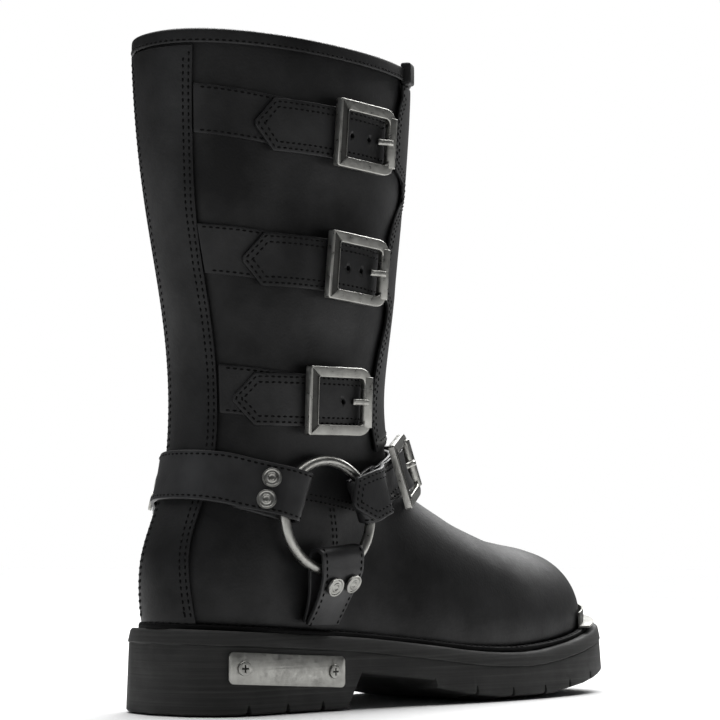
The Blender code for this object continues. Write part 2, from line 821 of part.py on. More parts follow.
def add_buckle(name, line, at, lift):
    """Frame and prong of one buckle, at a distance along a strap's line that runs to the strap's tip."""
    place, ahead, side, out = (part[0] for part in line.frame(np.array([at])))
    ahead, side = -ahead, -side
    spot = lambda along, across, up: place + ahead * along + side * across + out * up
    front, rear, half = FRAME_LENGTH / 2, -FRAME_LENGTH / 2, FRAME_HEIGHT / 2
    c = FRAME_CHAMFER
    outer = frame_loop(front, rear, half, FRAME_CORNER)
    outer_in = frame_loop(front - c, rear + c, half - c, FRAME_CORNER - c)
    inner = frame_loop(front - FRONT_BAR, rear + REAR_BAR, half - SIDE_BAR, WINDOW_CORNER)
    inner_out = frame_loop(
        front - FRONT_BAR + c, rear + REAR_BAR - c, half - SIDE_BAR + c, WINDOW_CORNER + c
    )
    top = np.full(len(outer), lift + FRAME_THICKNESS)
    top[NOTCH_CORNERS] -= NOTCH_DEPTH
    sections = [
        (outer, np.full(len(outer), lift)),
        (outer, top - c),
        (outer_in, top),
        (inner_out, top),
        (inner, top - c),
        (inner, np.full(len(outer), lift)),
    ]
    points = [spot(a, b, up) for loop, ups in sections for (a, b), up in zip(loop, ups)]
    count = len(points)
    faces = [tuple(i % count for i in face) for face in ring_faces(len(sections) + 1, len(outer))]
    add_piece(name + "_buckle", points, faces, nickel())
    add_prong(name + "_prong", spot, lift)


def add_prong(name, spot, lift):
    """The prong: it comes up through the strap and lies in the notch of the front bar."""
    in_notch = lift + FRAME_THICKNESS - NOTCH_DEPTH + 0.2
    sections = Table(
        "along base tall",
        (7.0, lift - 0.2, 1.0),
        (9.0, lift - 0.2, 1.7),
        (12.5, lift + 0.2, 1.9),
        (15.0, in_notch, 1.9),
        (19.0, in_notch, 1.8),
        (FRAME_LENGTH / 2, in_notch + 0.3, 1.0),
    )
    outline = ((-1.0, 0.0), (1.0, 0.0), (1.0, 0.6), (0.5, 1.0), (-0.5, 1.0), (-1.0, 0.6))
    points = []
    for along, base, tall in zip(sections.at, sections.columns["base"], sections.columns["tall"]):
        points += [spot(along, side * PRONG_HALF, base + share * tall) for side, share in outline]
    count = len(outline)
    faces = ring_faces(len(sections.at), count)
    faces += [tuple(range(count)), tuple(range(len(points) - count, len(points)))]
    add_piece(name, points, faces, nickel())


# The harness: a ring on each side of the ankle, held by a strap round the heel, a strap down to the
# sole and a strap over the instep. Each strap is folded round the ring and riveted.
RING_CENTRE = (71.4, 90.7)
RING_STAND = 41.9
RING_TILT = math.radians(6.5)
RING_LEAN = math.radians(-3.0)
RING_RADIUS = 25.8
RING_WIRE = 2.6
HARNESS_WIDTH = 24.5
SOLE_STRAP_WIDTH = 22.0
INSTEP_BASE_WIDTH = 20.0
INSTEP_TAIL_WIDTH = 21.5
TUCK_LIFT = 1.6
TUCK_LENGTH = 21.0
DOUBLE_LIFT = 3.9
SLOT_CLEARANCE = 0.8
LOOP_DEPTH = 3.2
RIVET_RADIUS = 4.5
RIVET_SEAT = 1.0
RIVET_PLACE = 9.4
SOLE_RIVET_PLACE = 6.6
HEEL_RIVETS = (-4.2, 6.6)
SOLE_RIVETS = (-5.2, 5.2)
INSTEP_LIFT = 2.3


def ring_spot(side, angle):
    """A point of the ring's middle line. angle runs from the front up, side is -1 for the lateral ring."""
    forward, up = RING_RADIUS * math.cos(angle), RING_RADIUS * math.sin(angle)
    x = RING_CENTRE[0] + forward * math.cos(RING_TILT)
    y = side * (RING_STAND + forward * math.sin(RING_TILT) + up * math.sin(RING_LEAN))
    return np.array([x, y, RING_CENTRE[1] + up * math.cos(RING_LEAN)])


def ring_tilt(side, angle, line, at=0.0, follow=1.0):
    """How far the ring runs along a strap and out of the skin for each millimetre across the strap."""
    tangent = ring_spot(side, angle + 0.05) - ring_spot(side, angle - 0.05)
    _, ahead, across, out = (part[0] for part in line.frame(np.array([at])))
    return np.array([follow * (tangent @ ahead), tangent @ out]) / (tangent @ across)


def add_ring(name, side):
    points = []
    count, wire_count = 24, 6
    for k in range(count):
        angle = 2 * math.pi * k / count
        spot, ahead = ring_spot(side, angle), ring_spot(side, angle) - ring_spot(side, angle + math.pi)
        radial = unit(ahead)
        axis = unit(np.cross(radial, ring_spot(side, angle + 0.1) - spot))
        for j in range(wire_count):
            turn = 2 * math.pi * j / wire_count
            points.append(spot + RING_WIRE * (radial * math.cos(turn) + axis * math.sin(turn)))
    total = len(points)
    faces = [tuple(i % total for i in face) for face in ring_faces(count + 1, wire_count)]
    add_piece(name, points, faces, nickel())


def fold(ring_start, reach, settle):
    """Path of a strap end that is folded round the ring: the tucked end, the loop, then the outer face.

    reach is how far the loop goes past the ring's middle line, settle where the strap meets the skin.
    """
    height = ring_height(ring_start)
    room = RING_WIRE + SLOT_CLEARANCE + STRAP_THICKNESS / 2
    low, high = max(TUCK_LIFT, height - room), height + room
    middle, tall = (low + high) / 2, (high - low) / 2
    back = 3.0 - reach
    path = [(max(TUCK_LENGTH, settle), TUCK_LIFT), (settle - 1.5, TUCK_LIFT), (3.0, low), (back, low)]
    for degrees in (30, 60, 90, 120, 150):
        turn = math.radians(degrees)
        path.append((back - LOOP_DEPTH * math.sin(turn), middle - tall * math.cos(turn)))
    path += [(back, high), (1.5, high), (4.0, high - 0.06 * (high - DOUBLE_LIFT))]
    return path + [(settle, DOUBLE_LIFT), (TUCK_LENGTH + 3, DOUBLE_LIFT)]


def ring_height(spot):
    """How far a point of the ring stands off the skin."""
    laid, _ = onto_skin(spot)
    return float(np.linalg.norm(spot - laid))


def add_head(name, spot, along, across, radius, height=1.5):
    """The domed head of a rivet or screw, standing at a spot."""
    along = unit(along)
    out = unit(np.cross(along, across))
    if out @ (spot - np.array([LEG_CENTRE_X, 0, spot[2]])) < 0:
        out = -out
    across = np.cross(out, along)
    count = 10
    points = []
    for share, up in ((0.95, 0.0), (1.0, 0.5), (0.6, 1.0)):
        for k in range(count):
            turn = 2 * math.pi * k / count
            flat = along * math.cos(turn) + across * math.sin(turn)
            points.append(spot + flat * radius * share + out * up * height)
    faces = ring_faces(3, count)
    faces += [tuple(range(count)), tuple(range(2 * count, 3 * count))]
    add_piece(name, points, faces, nickel())


def mirrored(path, length):
    """The same path at the far end of a line."""
    return [(length - at, lift) for at, lift in reversed(path)]


# Where each strap meets the ring, how far its loop reaches past the ring's wire, and where it has
# come down to the skin.
HEEL_ANGLE = math.radians(157)
HEEL_REACH, HEEL_SETTLE = 8.0, 17.0
SOLE_ANGLE = math.radians(-82)
SOLE_REACH, SOLE_SETTLE = 10.6, 24.0
INSTEP_ANGLE = math.radians(19)
TAIL_ANGLE = math.radians(26)
INSTEP_REACH, INSTEP_SETTLE = 7.4, 16.0
TAIL_REACH = 9.0
TAIL_OVER_RING = 1.2
INSTEP_BUCKLE_PLACE = 33.0
INSTEP_FRAME_LIFT = 6.6
BULGE_RISE, BULGE_HALF = 1.0, 11.0


def add_sole_straps():
    for side, name in ((-1, "lateral"), (1, "medial")):
        add_ring(name + "_ring", side)
        start = ring_spot(side, SOLE_ANGLE)
        line = Line(start, (74.5, side * 35, 56), (74, side * 33, sole_top(74) + 5.4))
        path = fold(start, SOLE_REACH, SOLE_SETTLE)[:-1] + [(line.length, DOUBLE_LIFT)]
        path[0] = (line.length - 0.5, TUCK_LIFT)
        tilt = ring_tilt(side, SOLE_ANGLE, line, follow=0.95)
        strap = Strap(line, path, SOLE_STRAP_WIDTH, (AT_START, tilt))
        strap.add(name + "_sole_strap")
        for number, across in enumerate(SOLE_RIVETS, 1):
            strap.add_rivet(f"{name}_sole_rivet_{number}", SOLE_RIVET_PLACE, across)


def add_heel_strap():
    start, end = ring_spot(-1, HEEL_ANGLE), ring_spot(1, HEEL_ANGLE)
    line = Line(start, (36, -31, 104), (26, -23, 107.2), (14, -5, 109.4), (14, 5, 109.4),
                (26, 23, 107.2), (36, 31, 104), end)
    middle = line.length / 2
    over_panel = PANEL_LIFT + PANEL + 2 * GAP + STRAP_THICKNESS / 2
    half = fold(start, HEEL_REACH, HEEL_SETTLE)
    half += [(middle - 20, over_panel)]
    path = half + mirrored(half, line.length)
    at_end = (line.length - AT_START[1], line.length - AT_START[0])
    lateral = (AT_START, ring_tilt(-1, HEEL_ANGLE, line, 0.0, 0.9))
    medial = (at_end, ring_tilt(1, HEEL_ANGLE, line, line.length, 0.9))
    strap = Strap(line, path, HARNESS_WIDTH, lateral, medial)
    strap.add("heel_strap")
    for name, at in (("lateral", RIVET_PLACE), ("medial", line.length - RIVET_PLACE)):
        for number, across in enumerate(HEEL_RIVETS, 1):
            strap.add_rivet(f"{name}_heel_rivet_{number}", at, across)


def add_instep_straps():
    start, end = ring_spot(-1, INSTEP_ANGLE), ring_spot(1, INSTEP_ANGLE)
    lateral = [(120, -31, 107), (138, -21, 112), (146, -8, 114)]
    medial = [(x, -y, z) for x, y, z in reversed(lateral)]
    line = Line(start, *lateral, medial[0])
    path = fold(start, INSTEP_REACH, INSTEP_SETTLE) + [(30, INSTEP_LIFT), (line.length - 12, INSTEP_LIFT)]
    tilt = ring_tilt(-1, INSTEP_ANGLE, line)
    Strap(line, path, INSTEP_BASE_WIDTH, (AT_START, tilt)).add("instep_base_strap")
    base_length = line.length

    tip = (76.5, -34, 95.5)
    over = ring_spot(-1, TAIL_ANGLE)
    line = Line(end, *reversed(medial), *reversed(lateral), over, tip)
    reach = line.length
    ring_at = reach - float(np.linalg.norm(over - np.array(tip)) - 1)
    over_base = STRAP_THICKNESS + 2 * GAP
    high = ring_height(over) + RING_WIRE + SLOT_CLEARANCE + STRAP_THICKNESS / 2 + over_base + TAIL_OVER_RING
    path = fold(end, TAIL_REACH, INSTEP_SETTLE) + [(30, INSTEP_LIFT)]
    path += [(ring_at - base_length - 6, INSTEP_LIFT), (ring_at - base_length + 2, INSTEP_LIFT + over_base)]
    buckle_at = ring_at - base_length + INSTEP_BUCKLE_PLACE
    bulge = INSTEP_LIFT + over_base + BULGE_RISE
    path += [(buckle_at - BULGE_HALF, bulge), (buckle_at, INSTEP_LIFT + over_base)]
    path += [(buckle_at + BULGE_HALF, bulge), (ring_at - 30, INSTEP_LIFT + over_base)]
    path += [(ring_at - 24, DOUBLE_LIFT + over_base)]
    path += [(ring_at - 17, DOUBLE_LIFT + over_base + 0.4), (ring_at - 3, high - 0.4), (ring_at, high)]
    path += [(reach - TAIL_POINT, high), (reach, high)]
    at_medial_ring = (AT_START, ring_tilt(1, INSTEP_ANGLE, line))
    over_ring = ((ring_at - AT_START[1], reach), ring_tilt(-1, TAIL_ANGLE, line, ring_at, 0.0))
    width = pointed(reach, TAIL_POINT, INSTEP_TAIL_WIDTH)
    Strap(line, path, width, at_medial_ring, over_ring).add("instep_tail_strap")
    add_buckle("instep", line, buckle_at, INSTEP_FRAME_LIFT)


# Metal plates: one on the lateral side of the heel with two screws, one bent round the toe.
HEEL_PLATE_X = (16.0, 84.5)
HEEL_PLATE_TOP = 9.3
HEEL_PLATE_HEIGHT = 14.5
HEEL_PLATE_THICKNESS = 1.4
SCREW_X = (22.5, 77.5)
SCREW_RADIUS = 3.3


def heel_wall(x, drop, lift):
    """A point on the lateral heel wall, drop below the sole's top edge."""
    x = np.asarray(x, float)
    step = 0.5
    y_at = lambda at: LAST.read("centre", at) - sole_half(at)
    ahead = unit(np.stack([np.full_like(x, 2 * step), y_at(x + step) - y_at(x - step)], axis=-1))
    out = np.stack([ahead[..., 1], -ahead[..., 0]], axis=-1)
    flat = np.stack([x, y_at(x)], axis=-1) + out * np.asarray(lift)[..., None]
    return np.concatenate([flat, (sole_top(x) - drop)[..., None]], axis=-1)


def add_heel_plate():
    x = np.linspace(*HEEL_PLATE_X, 15)
    across, drop = np.meshgrid(x, [HEEL_PLATE_TOP, HEEL_PLATE_TOP + HEEL_PLATE_HEIGHT])
    outer = heel_wall(across, drop, np.full(drop.shape, GAP + HEEL_PLATE_THICKNESS))
    inner = heel_wall(across, drop, np.full(drop.shape, GAP))
    shell("heel_plate", outer, inner, nickel(), closed=False)
    for number, at in enumerate(SCREW_X, 1):
        lift = GAP + HEEL_PLATE_THICKNESS + 0.1
        drop = HEEL_PLATE_TOP + HEEL_PLATE_HEIGHT / 2
        spots = heel_wall(np.array([at, at + 1, at]), np.array([drop, drop, drop - 1]), np.full(3, lift))
        add_head(f"heel_plate_screw_{number}", spots[0], spots[1] - spots[0], spots[2] - spots[0],
                 SCREW_RADIUS, 0.8)


TOE_PLATE_REACH = 0.085
TOE_PLATE_HEIGHT = 11.0
TOE_PLATE_FLANGE = 7.0
TOE_PLATE_THICKNESS = 1.1
TOE_PLATE_STAND = 0.5


def add_toe_plate():
    """The L-shaped metal strip bent round the toe, standing on the welt."""
    turns = 0.5 + np.linspace(-1, 1, 13) * TOE_PLATE_REACH
    edge = upper_grid([1.3], 0.0, turns)[0]
    out = unit(skin_slope(edge) * np.array([1, 1, 0]))
    base = WELT_THICKNESS + GAP
    t = TOE_PLATE_THICKNESS
    back = TOE_PLATE_STAND
    profile = [(back, TOE_PLATE_HEIGHT), (back + t, TOE_PLATE_HEIGHT), (back + t, base + t)]
    profile += [(TOE_PLATE_FLANGE, base + t), (TOE_PLATE_FLANGE, base), (back, base)]
    points = []
    for spot, direction in zip(edge, out):
        for offset, height in profile:
            place = spot + direction * offset
            place[2] = sole_top(min(place[0], SOLE_LENGTH)) + height
            points.append(place)
    count = len(profile)
    faces = ring_faces(len(edge), count)
    faces += [tuple(range(count)), tuple(range(len(points) - count, len(points)))]
    add_piece("toe_plate", points, faces, nickel())


def stand_over_origin(boot):
    """Moves the boot so that the middle of its box, at the floor, is the origin."""
    pieces = [obj for obj in boot.children if not obj.hide_render]
    corners = np.array([corner.co[:] for obj in pieces for corner in obj.data.vertices])
    low, high = corners.min(axis=0), corners.max(axis=0)
    boot.location = (-(low[0] + high[0]) / 2, -(low[1] + high[1]) / 2, -low[2])


def main():
    clear_scene()
    boot = bpy.data.objects.new("boot", None)
    bpy.context.scene.collection.objects.link(boot)
    add_soles()
    add_welt()
    add_insole()
    add_upper()
    add_panels()
    add_collar_binding()
    add_shaft_straps()
    add_sole_straps()
    add_heel_strap()
    add_instep_straps()
    add_heel_plate()
    add_toe_plate()
    stand_over_origin(boot)


main()
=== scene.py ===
import math

import bpy
import numpy as np
from mathutils import Matrix, Vector
from mathutils.bvhtree import BVHTree


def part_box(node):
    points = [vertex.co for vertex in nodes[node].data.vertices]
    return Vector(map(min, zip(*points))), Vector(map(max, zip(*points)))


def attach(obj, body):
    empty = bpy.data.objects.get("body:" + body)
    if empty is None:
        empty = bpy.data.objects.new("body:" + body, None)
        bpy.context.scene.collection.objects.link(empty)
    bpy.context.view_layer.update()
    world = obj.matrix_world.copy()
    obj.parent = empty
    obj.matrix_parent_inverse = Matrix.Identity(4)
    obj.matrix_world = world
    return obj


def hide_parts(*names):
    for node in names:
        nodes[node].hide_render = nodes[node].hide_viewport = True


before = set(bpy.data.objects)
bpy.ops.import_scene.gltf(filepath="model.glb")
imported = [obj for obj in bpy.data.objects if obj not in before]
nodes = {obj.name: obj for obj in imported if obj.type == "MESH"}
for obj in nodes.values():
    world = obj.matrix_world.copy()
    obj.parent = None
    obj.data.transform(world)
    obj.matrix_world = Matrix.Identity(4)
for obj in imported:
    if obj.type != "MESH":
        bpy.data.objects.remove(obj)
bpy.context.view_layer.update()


# Outsole and midsole
# One moulded rubber unit with a heel block and cut lugs, cemented under a thinner rubber midsole.
# The charcoal rubber keeps the faint lengthwise marks of the buffing wheel on its side walls.
MM = 0.001
SOLE_EDGE = 0.25 * MM
SOLE_COLOUR = (0.018, 0.018, 0.0172)
MIDSOLE_LAP = 1.2 * MM
MIDSOLE_SPREAD = 0.9 * MM
FACING_DOWN = -0.7


def fresh_copy(node, name):
    """A merged copy of a CAD solid as a new object, alone selected and active."""
    bpy.ops.object.select_all(action="DESELECT")
    piece = bpy.data.objects.new(name, nodes[node].data.copy())
    bpy.context.scene.collection.objects.link(piece)
    piece.select_set(True)
    bpy.context.view_layer.objects.active = piece
    piece.data.materials.clear()
    bpy.ops.mesh.customdata_custom_splitnormals_clear()
    bpy.ops.object.mode_set(mode="EDIT")
    bpy.ops.mesh.select_all(action="SELECT")
    bpy.ops.mesh.remove_doubles(threshold=0.005 * MM)
    bpy.ops.mesh.tris_convert_to_quads(face_threshold=math.radians(40), shape_threshold=math.radians(60))
    bpy.ops.object.mode_set(mode="OBJECT")
    return piece


def finish_with(piece, kind, **settings):
    """Adds one modifier to the active piece and applies it."""
    step = piece.modifiers.new(kind.lower(), kind)
    for setting, value in settings.items():
        setattr(step, setting, value)
    bpy.ops.object.modifier_apply(modifier=step.name)


def soften_edges(piece, width, angle=35, segments=2):
    """Rounds the edges of the active piece that are sharper than an angle."""
    finish_with(piece, "BEVEL", width=width, segments=segments, limit_method="ANGLE",
                angle_limit=math.radians(angle), use_clamp_overlap=True)


def close_joint(piece, lap, spread=0.0):
    """Sinks a piece's underside into the piece below and spreads it, so that no light shows between."""
    mesh = piece.data
    for corner in {i for face in mesh.polygons if face.normal.z < FACING_DOWN for i in face.vertices}:
        normal = mesh.vertices[corner].normal
        away = Vector((normal.x, normal.y, 0.0)).normalized()
        mesh.vertices[corner].co += away * spread - Vector((0.0, 0.0, lap))


def shade(angle=40):
    """Shades the selected piece smooth, apart from the edges that are sharper than an angle."""
    bpy.ops.object.shade_smooth_by_angle(angle=math.radians(angle))


def dress(piece, finish, slot, *stands_for):
    """Gives a piece its material and lets it ride in place of the solids it stands for; the record slot is
    not used.
    """
    if not piece.data.materials:
        piece.data.materials.append(finish)
    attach(piece, "root")
    if stands_for:
        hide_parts(*stands_for)
    return piece


class Finish:
    """A procedural material on Object coordinates, built one texture at a time."""

    # most values of a noise texture lie between these two
    NOISE_LOW = 0.35
    NOISE_HIGH = 0.65

    def __init__(self, name, **constants):
        self.material = bpy.data.materials.new(name)
        self.material.use_nodes = True
        self.nodes, self.links = self.material.node_tree.nodes, self.material.node_tree.links
        self.shader = self.nodes["Principled BSDF"]
        self.where = self.nodes.new("ShaderNodeTexCoord").outputs["Object"]
        self.relief = None
        for socket, value in constants.items():
            self.shader.inputs[socket.replace("_", " ")].default_value = value

    def stretched(self, scale):
        """Object coordinates scaled by a different amount along each axis."""
        mapping = self.nodes.new("ShaderNodeMapping")
        mapping.inputs["Scale"].default_value = scale
        self.links.new(self.where, mapping.inputs["Vector"])
        return mapping.outputs["Vector"]

    def noise(self, scale, detail=3.0, rough=0.5, where=None):
        texture = self.nodes.new("ShaderNodeTexNoise")
        texture.inputs["Scale"].default_value = scale
        texture.inputs["Detail"].default_value = detail
        texture.inputs["Roughness"].default_value = rough
        self.links.new(where or self.where, texture.inputs["Vector"])
        return texture.outputs["Fac"]

    def cells(self, scale):
        texture = self.nodes.new("ShaderNodeTexVoronoi")
        texture.feature = "SMOOTH_F1"
        texture.inputs["Scale"].default_value = scale
        self.links.new(self.where, texture.inputs["Vector"])
        return texture.outputs["Distance"]

    def spread(self, value, low, high):
        """The usual range of a noise value, laid over low to high."""
        node = self.nodes.new("ShaderNodeMapRange")
        node.inputs["From Min"].default_value = self.NOISE_LOW
        node.inputs["From Max"].default_value = self.NOISE_HIGH
        node.inputs["To Min"].default_value = low
        node.inputs["To Max"].default_value = high
        self.links.new(value, node.inputs["Value"])
        return node.outputs["Result"]

    def colours(self, value, *stops):
        ramp = self.nodes.new("ShaderNodeValToRGB")
        while len(ramp.color_ramp.elements) < len(stops):
            ramp.color_ramp.elements.new(0.5)
        for element, (place, colour) in zip(ramp.color_ramp.elements, stops):
            element.position = place
            element.color = (*colour, 1.0)
        self.links.new(value, ramp.inputs["Fac"])
        return ramp.outputs["Color"]

    def drive(self, socket, value):
        self.links.new(value, self.shader.inputs[socket])

    def raise_by(self, value, depth, strength):
        """Adds one more layer of relief."""
        bump = self.nodes.new("ShaderNodeBump")
        bump.inputs["Distance"].default_value = depth
        bump.inputs["Strength"].default_value = strength
        self.links.new(value, bump.inputs["Height"])
        if self.relief is not None:
            self.links.new(self.relief, bump.inputs["Normal"])
        self.relief = bump.outputs["Normal"]
        self.links.new(self.relief, self.shader.inputs["Normal"])


def tinted(colour, share):
    return tuple(part * share for part in colour)


def sole_rubber():
    finish = Finish("sole rubber", Specular_IOR_Level=0.35)
    buffing = finish.noise(110, 5, 0.7, finish.stretched((0.07, 0.07, 6.0)))
    cloud = finish.noise(34, 4, 0.6)
    finish.drive("Base Color", finish.colours(
        buffing, (0.32, tinted(SOLE_COLOUR, 0.6)), (0.52, SOLE_COLOUR), (0.72, tinted(SOLE_COLOUR, 1.8))))
    finish.drive("Roughness", finish.spread(cloud, 0.56, 0.78))
    finish.raise_by(buffing, 0.3 * MM, 0.7)
    finish.raise_by(finish.noise(1900, 2), 0.08 * MM, 0.7)
    return finish.material


rubber = sole_rubber()
for node in ("outsole", "midsole"):
    layer = fresh_copy(node, node + "_rubber")
    if node == "midsole":
        close_joint(layer, MIDSOLE_LAP, MIDSOLE_SPREAD)
    soften_edges(layer, SOLE_EDGE)
    shade(30)
    dress(layer, rubber, "sole_rubber", node)


# Upper
# One closed wall of smooth black leather from the feather line to the collar, lined inside.
# It was pulled over the last, so it is taut, with a few soft folds at the ankle, the toe's bend and the
# outer side of the shaft.
heel_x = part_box("outsole")[0].x
middle_y = (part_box("lateral_ring")[0].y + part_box("medial_ring")[1].y) / 2
UPPER_COLOUR = (0.0025, 0.0025, 0.0027)
LINING_COLOUR = (0.012, 0.0115, 0.011)
FOLD_LIP = 0.35
FOLD_LIP_PLACE = 1.9
FOLD_FADE = 0.3


def spot(x, y, z):
    """A place on the boot in millimetres from the back of the sole, its middle line and the floor."""
    return Vector((heel_x + x * MM, middle_y + y * MM, z * MM))


def black_leather(name, colour, roughness, grain=1.0, shine=0.30):
    finish = Finish(name, Specular_IOR_Level=shine)
    cloud = finish.noise(21, 4, 0.55)
    fine = finish.noise(420, 3, 0.6)
    finish.drive("Base Color", finish.colours(
        cloud, (0.3, tinted(colour, 0.75)), (0.5, colour), (0.72, tinted(colour, 1.45))))
    finish.drive("Specular IOR Level", finish.spread(cloud, 0.65 * shine, 1.45 * shine))
    finish.drive("Roughness", finish.spread(fine, roughness - 0.02, roughness + 0.03))
    finish.raise_by(finish.cells(900), 0.05 * MM * grain, 0.5)
    finish.raise_by(fine, 0.04 * MM * grain, 0.5)
    return finish.material


def lining_leather():
    finish = Finish("shaft lining", Specular_IOR_Level=0.3)
    nap = finish.noise(420, 3)
    finish.drive("Base Color", finish.colours(nap, (0.3, tinted(LINING_COLOUR, 0.7)), (0.7, LINING_COLOUR)))
    finish.drive("Roughness", finish.spread(nap, 0.62, 0.8))
    finish.raise_by(nap, 0.12 * MM, 0.6)
    return finish.material


def press_crease(piece, line, width, depth):
    """A soft trough along a line, with low ridges beside it, fading out at both ends."""
    mesh = piece.data
    points = np.empty(len(mesh.vertices) * 3)
    normals = np.empty(len(mesh.vertices) * 3)
    mesh.vertices.foreach_get("co", points)
    mesh.vertices.foreach_get("normal", normals)
    points, normals = points.reshape(-1, 3), normals.reshape(-1, 3)
    line = np.array([tuple(p) for p in line])
    steps = np.linalg.norm(np.diff(line, axis=0), axis=1)
    reach = np.concatenate([[0], np.cumsum(steps)])
    nearest = np.full(len(points), 1e9)
    along = np.zeros(len(points))
    for start, end, length, at in zip(line, line[1:], steps, reach):
        share = np.clip((points - start) @ (end - start) / length**2, 0, 1)
        away = np.linalg.norm(points - start - share[:, None] * (end - start), axis=1)
        closer = away < nearest
        nearest = np.where(closer, away, nearest)
        along = np.where(closer, at + share * length, along)
    fade = np.clip(np.minimum(along, reach[-1] - along) / (FOLD_FADE * reach[-1]), 0, 1)
    fade = fade * fade * (3 - 2 * fade)
    trough = np.exp(-((nearest / width) ** 2))
    ridge = FOLD_LIP * np.exp(-(((nearest - FOLD_LIP_PLACE * width) / width) ** 2))
    points += normals * ((ridge - trough) * depth * fade)[:, None]
    mesh.vertices.foreach_set("co", points.ravel())
    mesh.update()


upper_leather = black_leather("upper leather", UPPER_COLOUR, 0.54, grain=2.2)
upper = fresh_copy("upper", "upper_leather")
finish_with(upper, "SUBSURF", levels=2, render_levels=2)
SOFT_FOLDS = (
    # points from the back of the sole, width and depth in millimetres
    ([(112, -26, 128), (126, -14, 124), (131, 0, 123), (126, 14, 124), (112, 26, 128)], 4.0, 0.8),
    ([(118, -24, 140), (129, -13, 137), (133, 0, 136), (129, 13, 137), (118, 24, 140)], 3.6, 0.6),
    ([(178, -33, 62), (188, -22, 80), (192, -6, 89), (192, 8, 89), (189, 24, 80)], 7.0, 0.3),
    ([(40, -35, 176), (62, -40, 172), (88, -40, 173), (112, -33, 177)], 9.0, 0.7),
    ([(36, -37, 240), (62, -42, 236), (96, -42, 238), (122, -33, 243)], 10.0, 0.7),
)
for route, width, depth in SOFT_FOLDS:
    press_crease(upper, [spot(*p) for p in route], width * MM, depth * MM)
upper.data.materials.append(upper_leather)
upper.data.materials.append(lining_leather())
# the wall's inner side is lined; in front of the ankle, outwards leads upwards too
shaft_axis = spot(76, 0, 0)
ankle_front = spot(130, 0, 60)
FOOT_UPWARDS = 0.3
for face in upper.data.polygons:
    outwards = face.center - shaft_axis
    outwards.z = 0.0
    if face.center.x > ankle_front.x:
        outwards.z = max(0.0, face.center.z - ankle_front.z) * FOOT_UPWARDS
    if face.normal.dot(outwards) < 0:
        face.material_index = 1
shade(60)
dress(upper, upper_leather, "upper_leather", "upper")


# Welt
# A narrow strip of firm black leather that lies on the midsole all round the upper.
# Heavy waxed thread sews it through the midsole.
WELT_SEAM = 1.5 * MM
WELT_LAP = 0.4 * MM
WELT_EDGE = 0.4 * MM
WELT_STITCH = {"pitch": 4.2 * MM, "length": 3.2 * MM, "radius": 0.5 * MM}
THREAD_COLOUR = (0.0012, 0.0012, 0.0012)
STITCH_PITCH = 3.1 * MM
STITCH_LENGTH = 2.5 * MM
STITCH_RADIUS = 0.52 * MM
# a stitch humps and sinks by these shares of its radius, and takes its direction over this length
STITCH_HUMP = 0.7
STITCH_SINK = 0.1
STITCH_LOOK = 0.6 * MM
# faces whose normals agree this well belong to one surface
SMOOTH_RUN = 0.72


def sewing_thread():
    finish = Finish("waxed thread", Specular_IOR_Level=0.07)
    island = finish.nodes.new("ShaderNodeNewGeometry").outputs["Random Per Island"]
    finish.drive("Base Color", finish.colours(
        island, (0.0, tinted(THREAD_COLOUR, 0.7)), (0.8, THREAD_COLOUR), (1.0, tinted(THREAD_COLOUR, 3.0))))
    twist = finish.noise(1500, 2)
    finish.drive("Roughness", finish.spread(twist, 0.40, 0.62))
    finish.raise_by(twist, 0.1 * MM, 0.6)
    return finish.material


def unmark(mesh):
    """Clears every mark from a mesh."""
    for group in (mesh.vertices, mesh.edges, mesh.polygons):
        for item in group:
            item.select = False


def outer_face(piece, inside):
    """Marks the faces that run on smoothly from the one that faces away most from a point inside."""
    mesh = piece.data
    facing = [face.normal.dot((face.center - inside).normalized()) * face.area for face in mesh.polygons]
    neighbours = {}
    for face in mesh.polygons:
        for key in face.edge_keys:
            neighbours.setdefault(key, []).append(face.index)
    marked, waiting = set(), [int(np.argmax(facing))]
    while waiting:
        face = mesh.polygons[waiting.pop()]
        if face.index in marked:
            continue
        marked.add(face.index)
        for key in face.edge_keys:
            for other in neighbours[key]:
                if mesh.polygons[other].normal.dot(face.normal) > SMOOTH_RUN:
                    waiting.append(other)
    unmark(mesh)
    for index in marked:
        mesh.polygons[index].select = True


def marked_rim(mesh):
    """Closed lines of points round the marked faces."""
    uses = {}
    for face in mesh.polygons:
        if face.select:
            for key in face.edge_keys:
                uses[key] = uses.get(key, 0) + 1
    ways = {}
    for (a, b), count in uses.items():
        if count == 1:
            ways.setdefault(a, []).append(b)
            ways.setdefault(b, []).append(a)
    lines = []
    while ways:
        start = next(iter(ways))
        line, here = [start], start
        while ways.get(here):
            ahead = ways[here].pop()
            ways[ahead].remove(here)
            line.append(ahead)
            here = ahead
        ways = {a: b for a, b in ways.items() if b}
        if len(line) > 3:
            lines.append([mesh.vertices[i].co.copy() for i in line])
    return lines


def sewing_lines(node, margins, inside):
    """Lines round the outer face of a leather piece, at these distances in from its cut edge."""
    guide = fresh_copy(node, "sewing_guide")
    outer_face(guide, inside)
    lines, reached = [], 0.0
    for margin in margins:
        bpy.ops.object.mode_set(mode="EDIT")
        bpy.ops.mesh.select_mode(type="FACE")
        bpy.ops.mesh.inset(thickness=margin - reached, depth=0.0, use_even_offset=True)
        bpy.ops.object.mode_set(mode="OBJECT")
        lines += marked_rim(guide.data)
        reached = margin
    bpy.data.objects.remove(guide)
    return lines


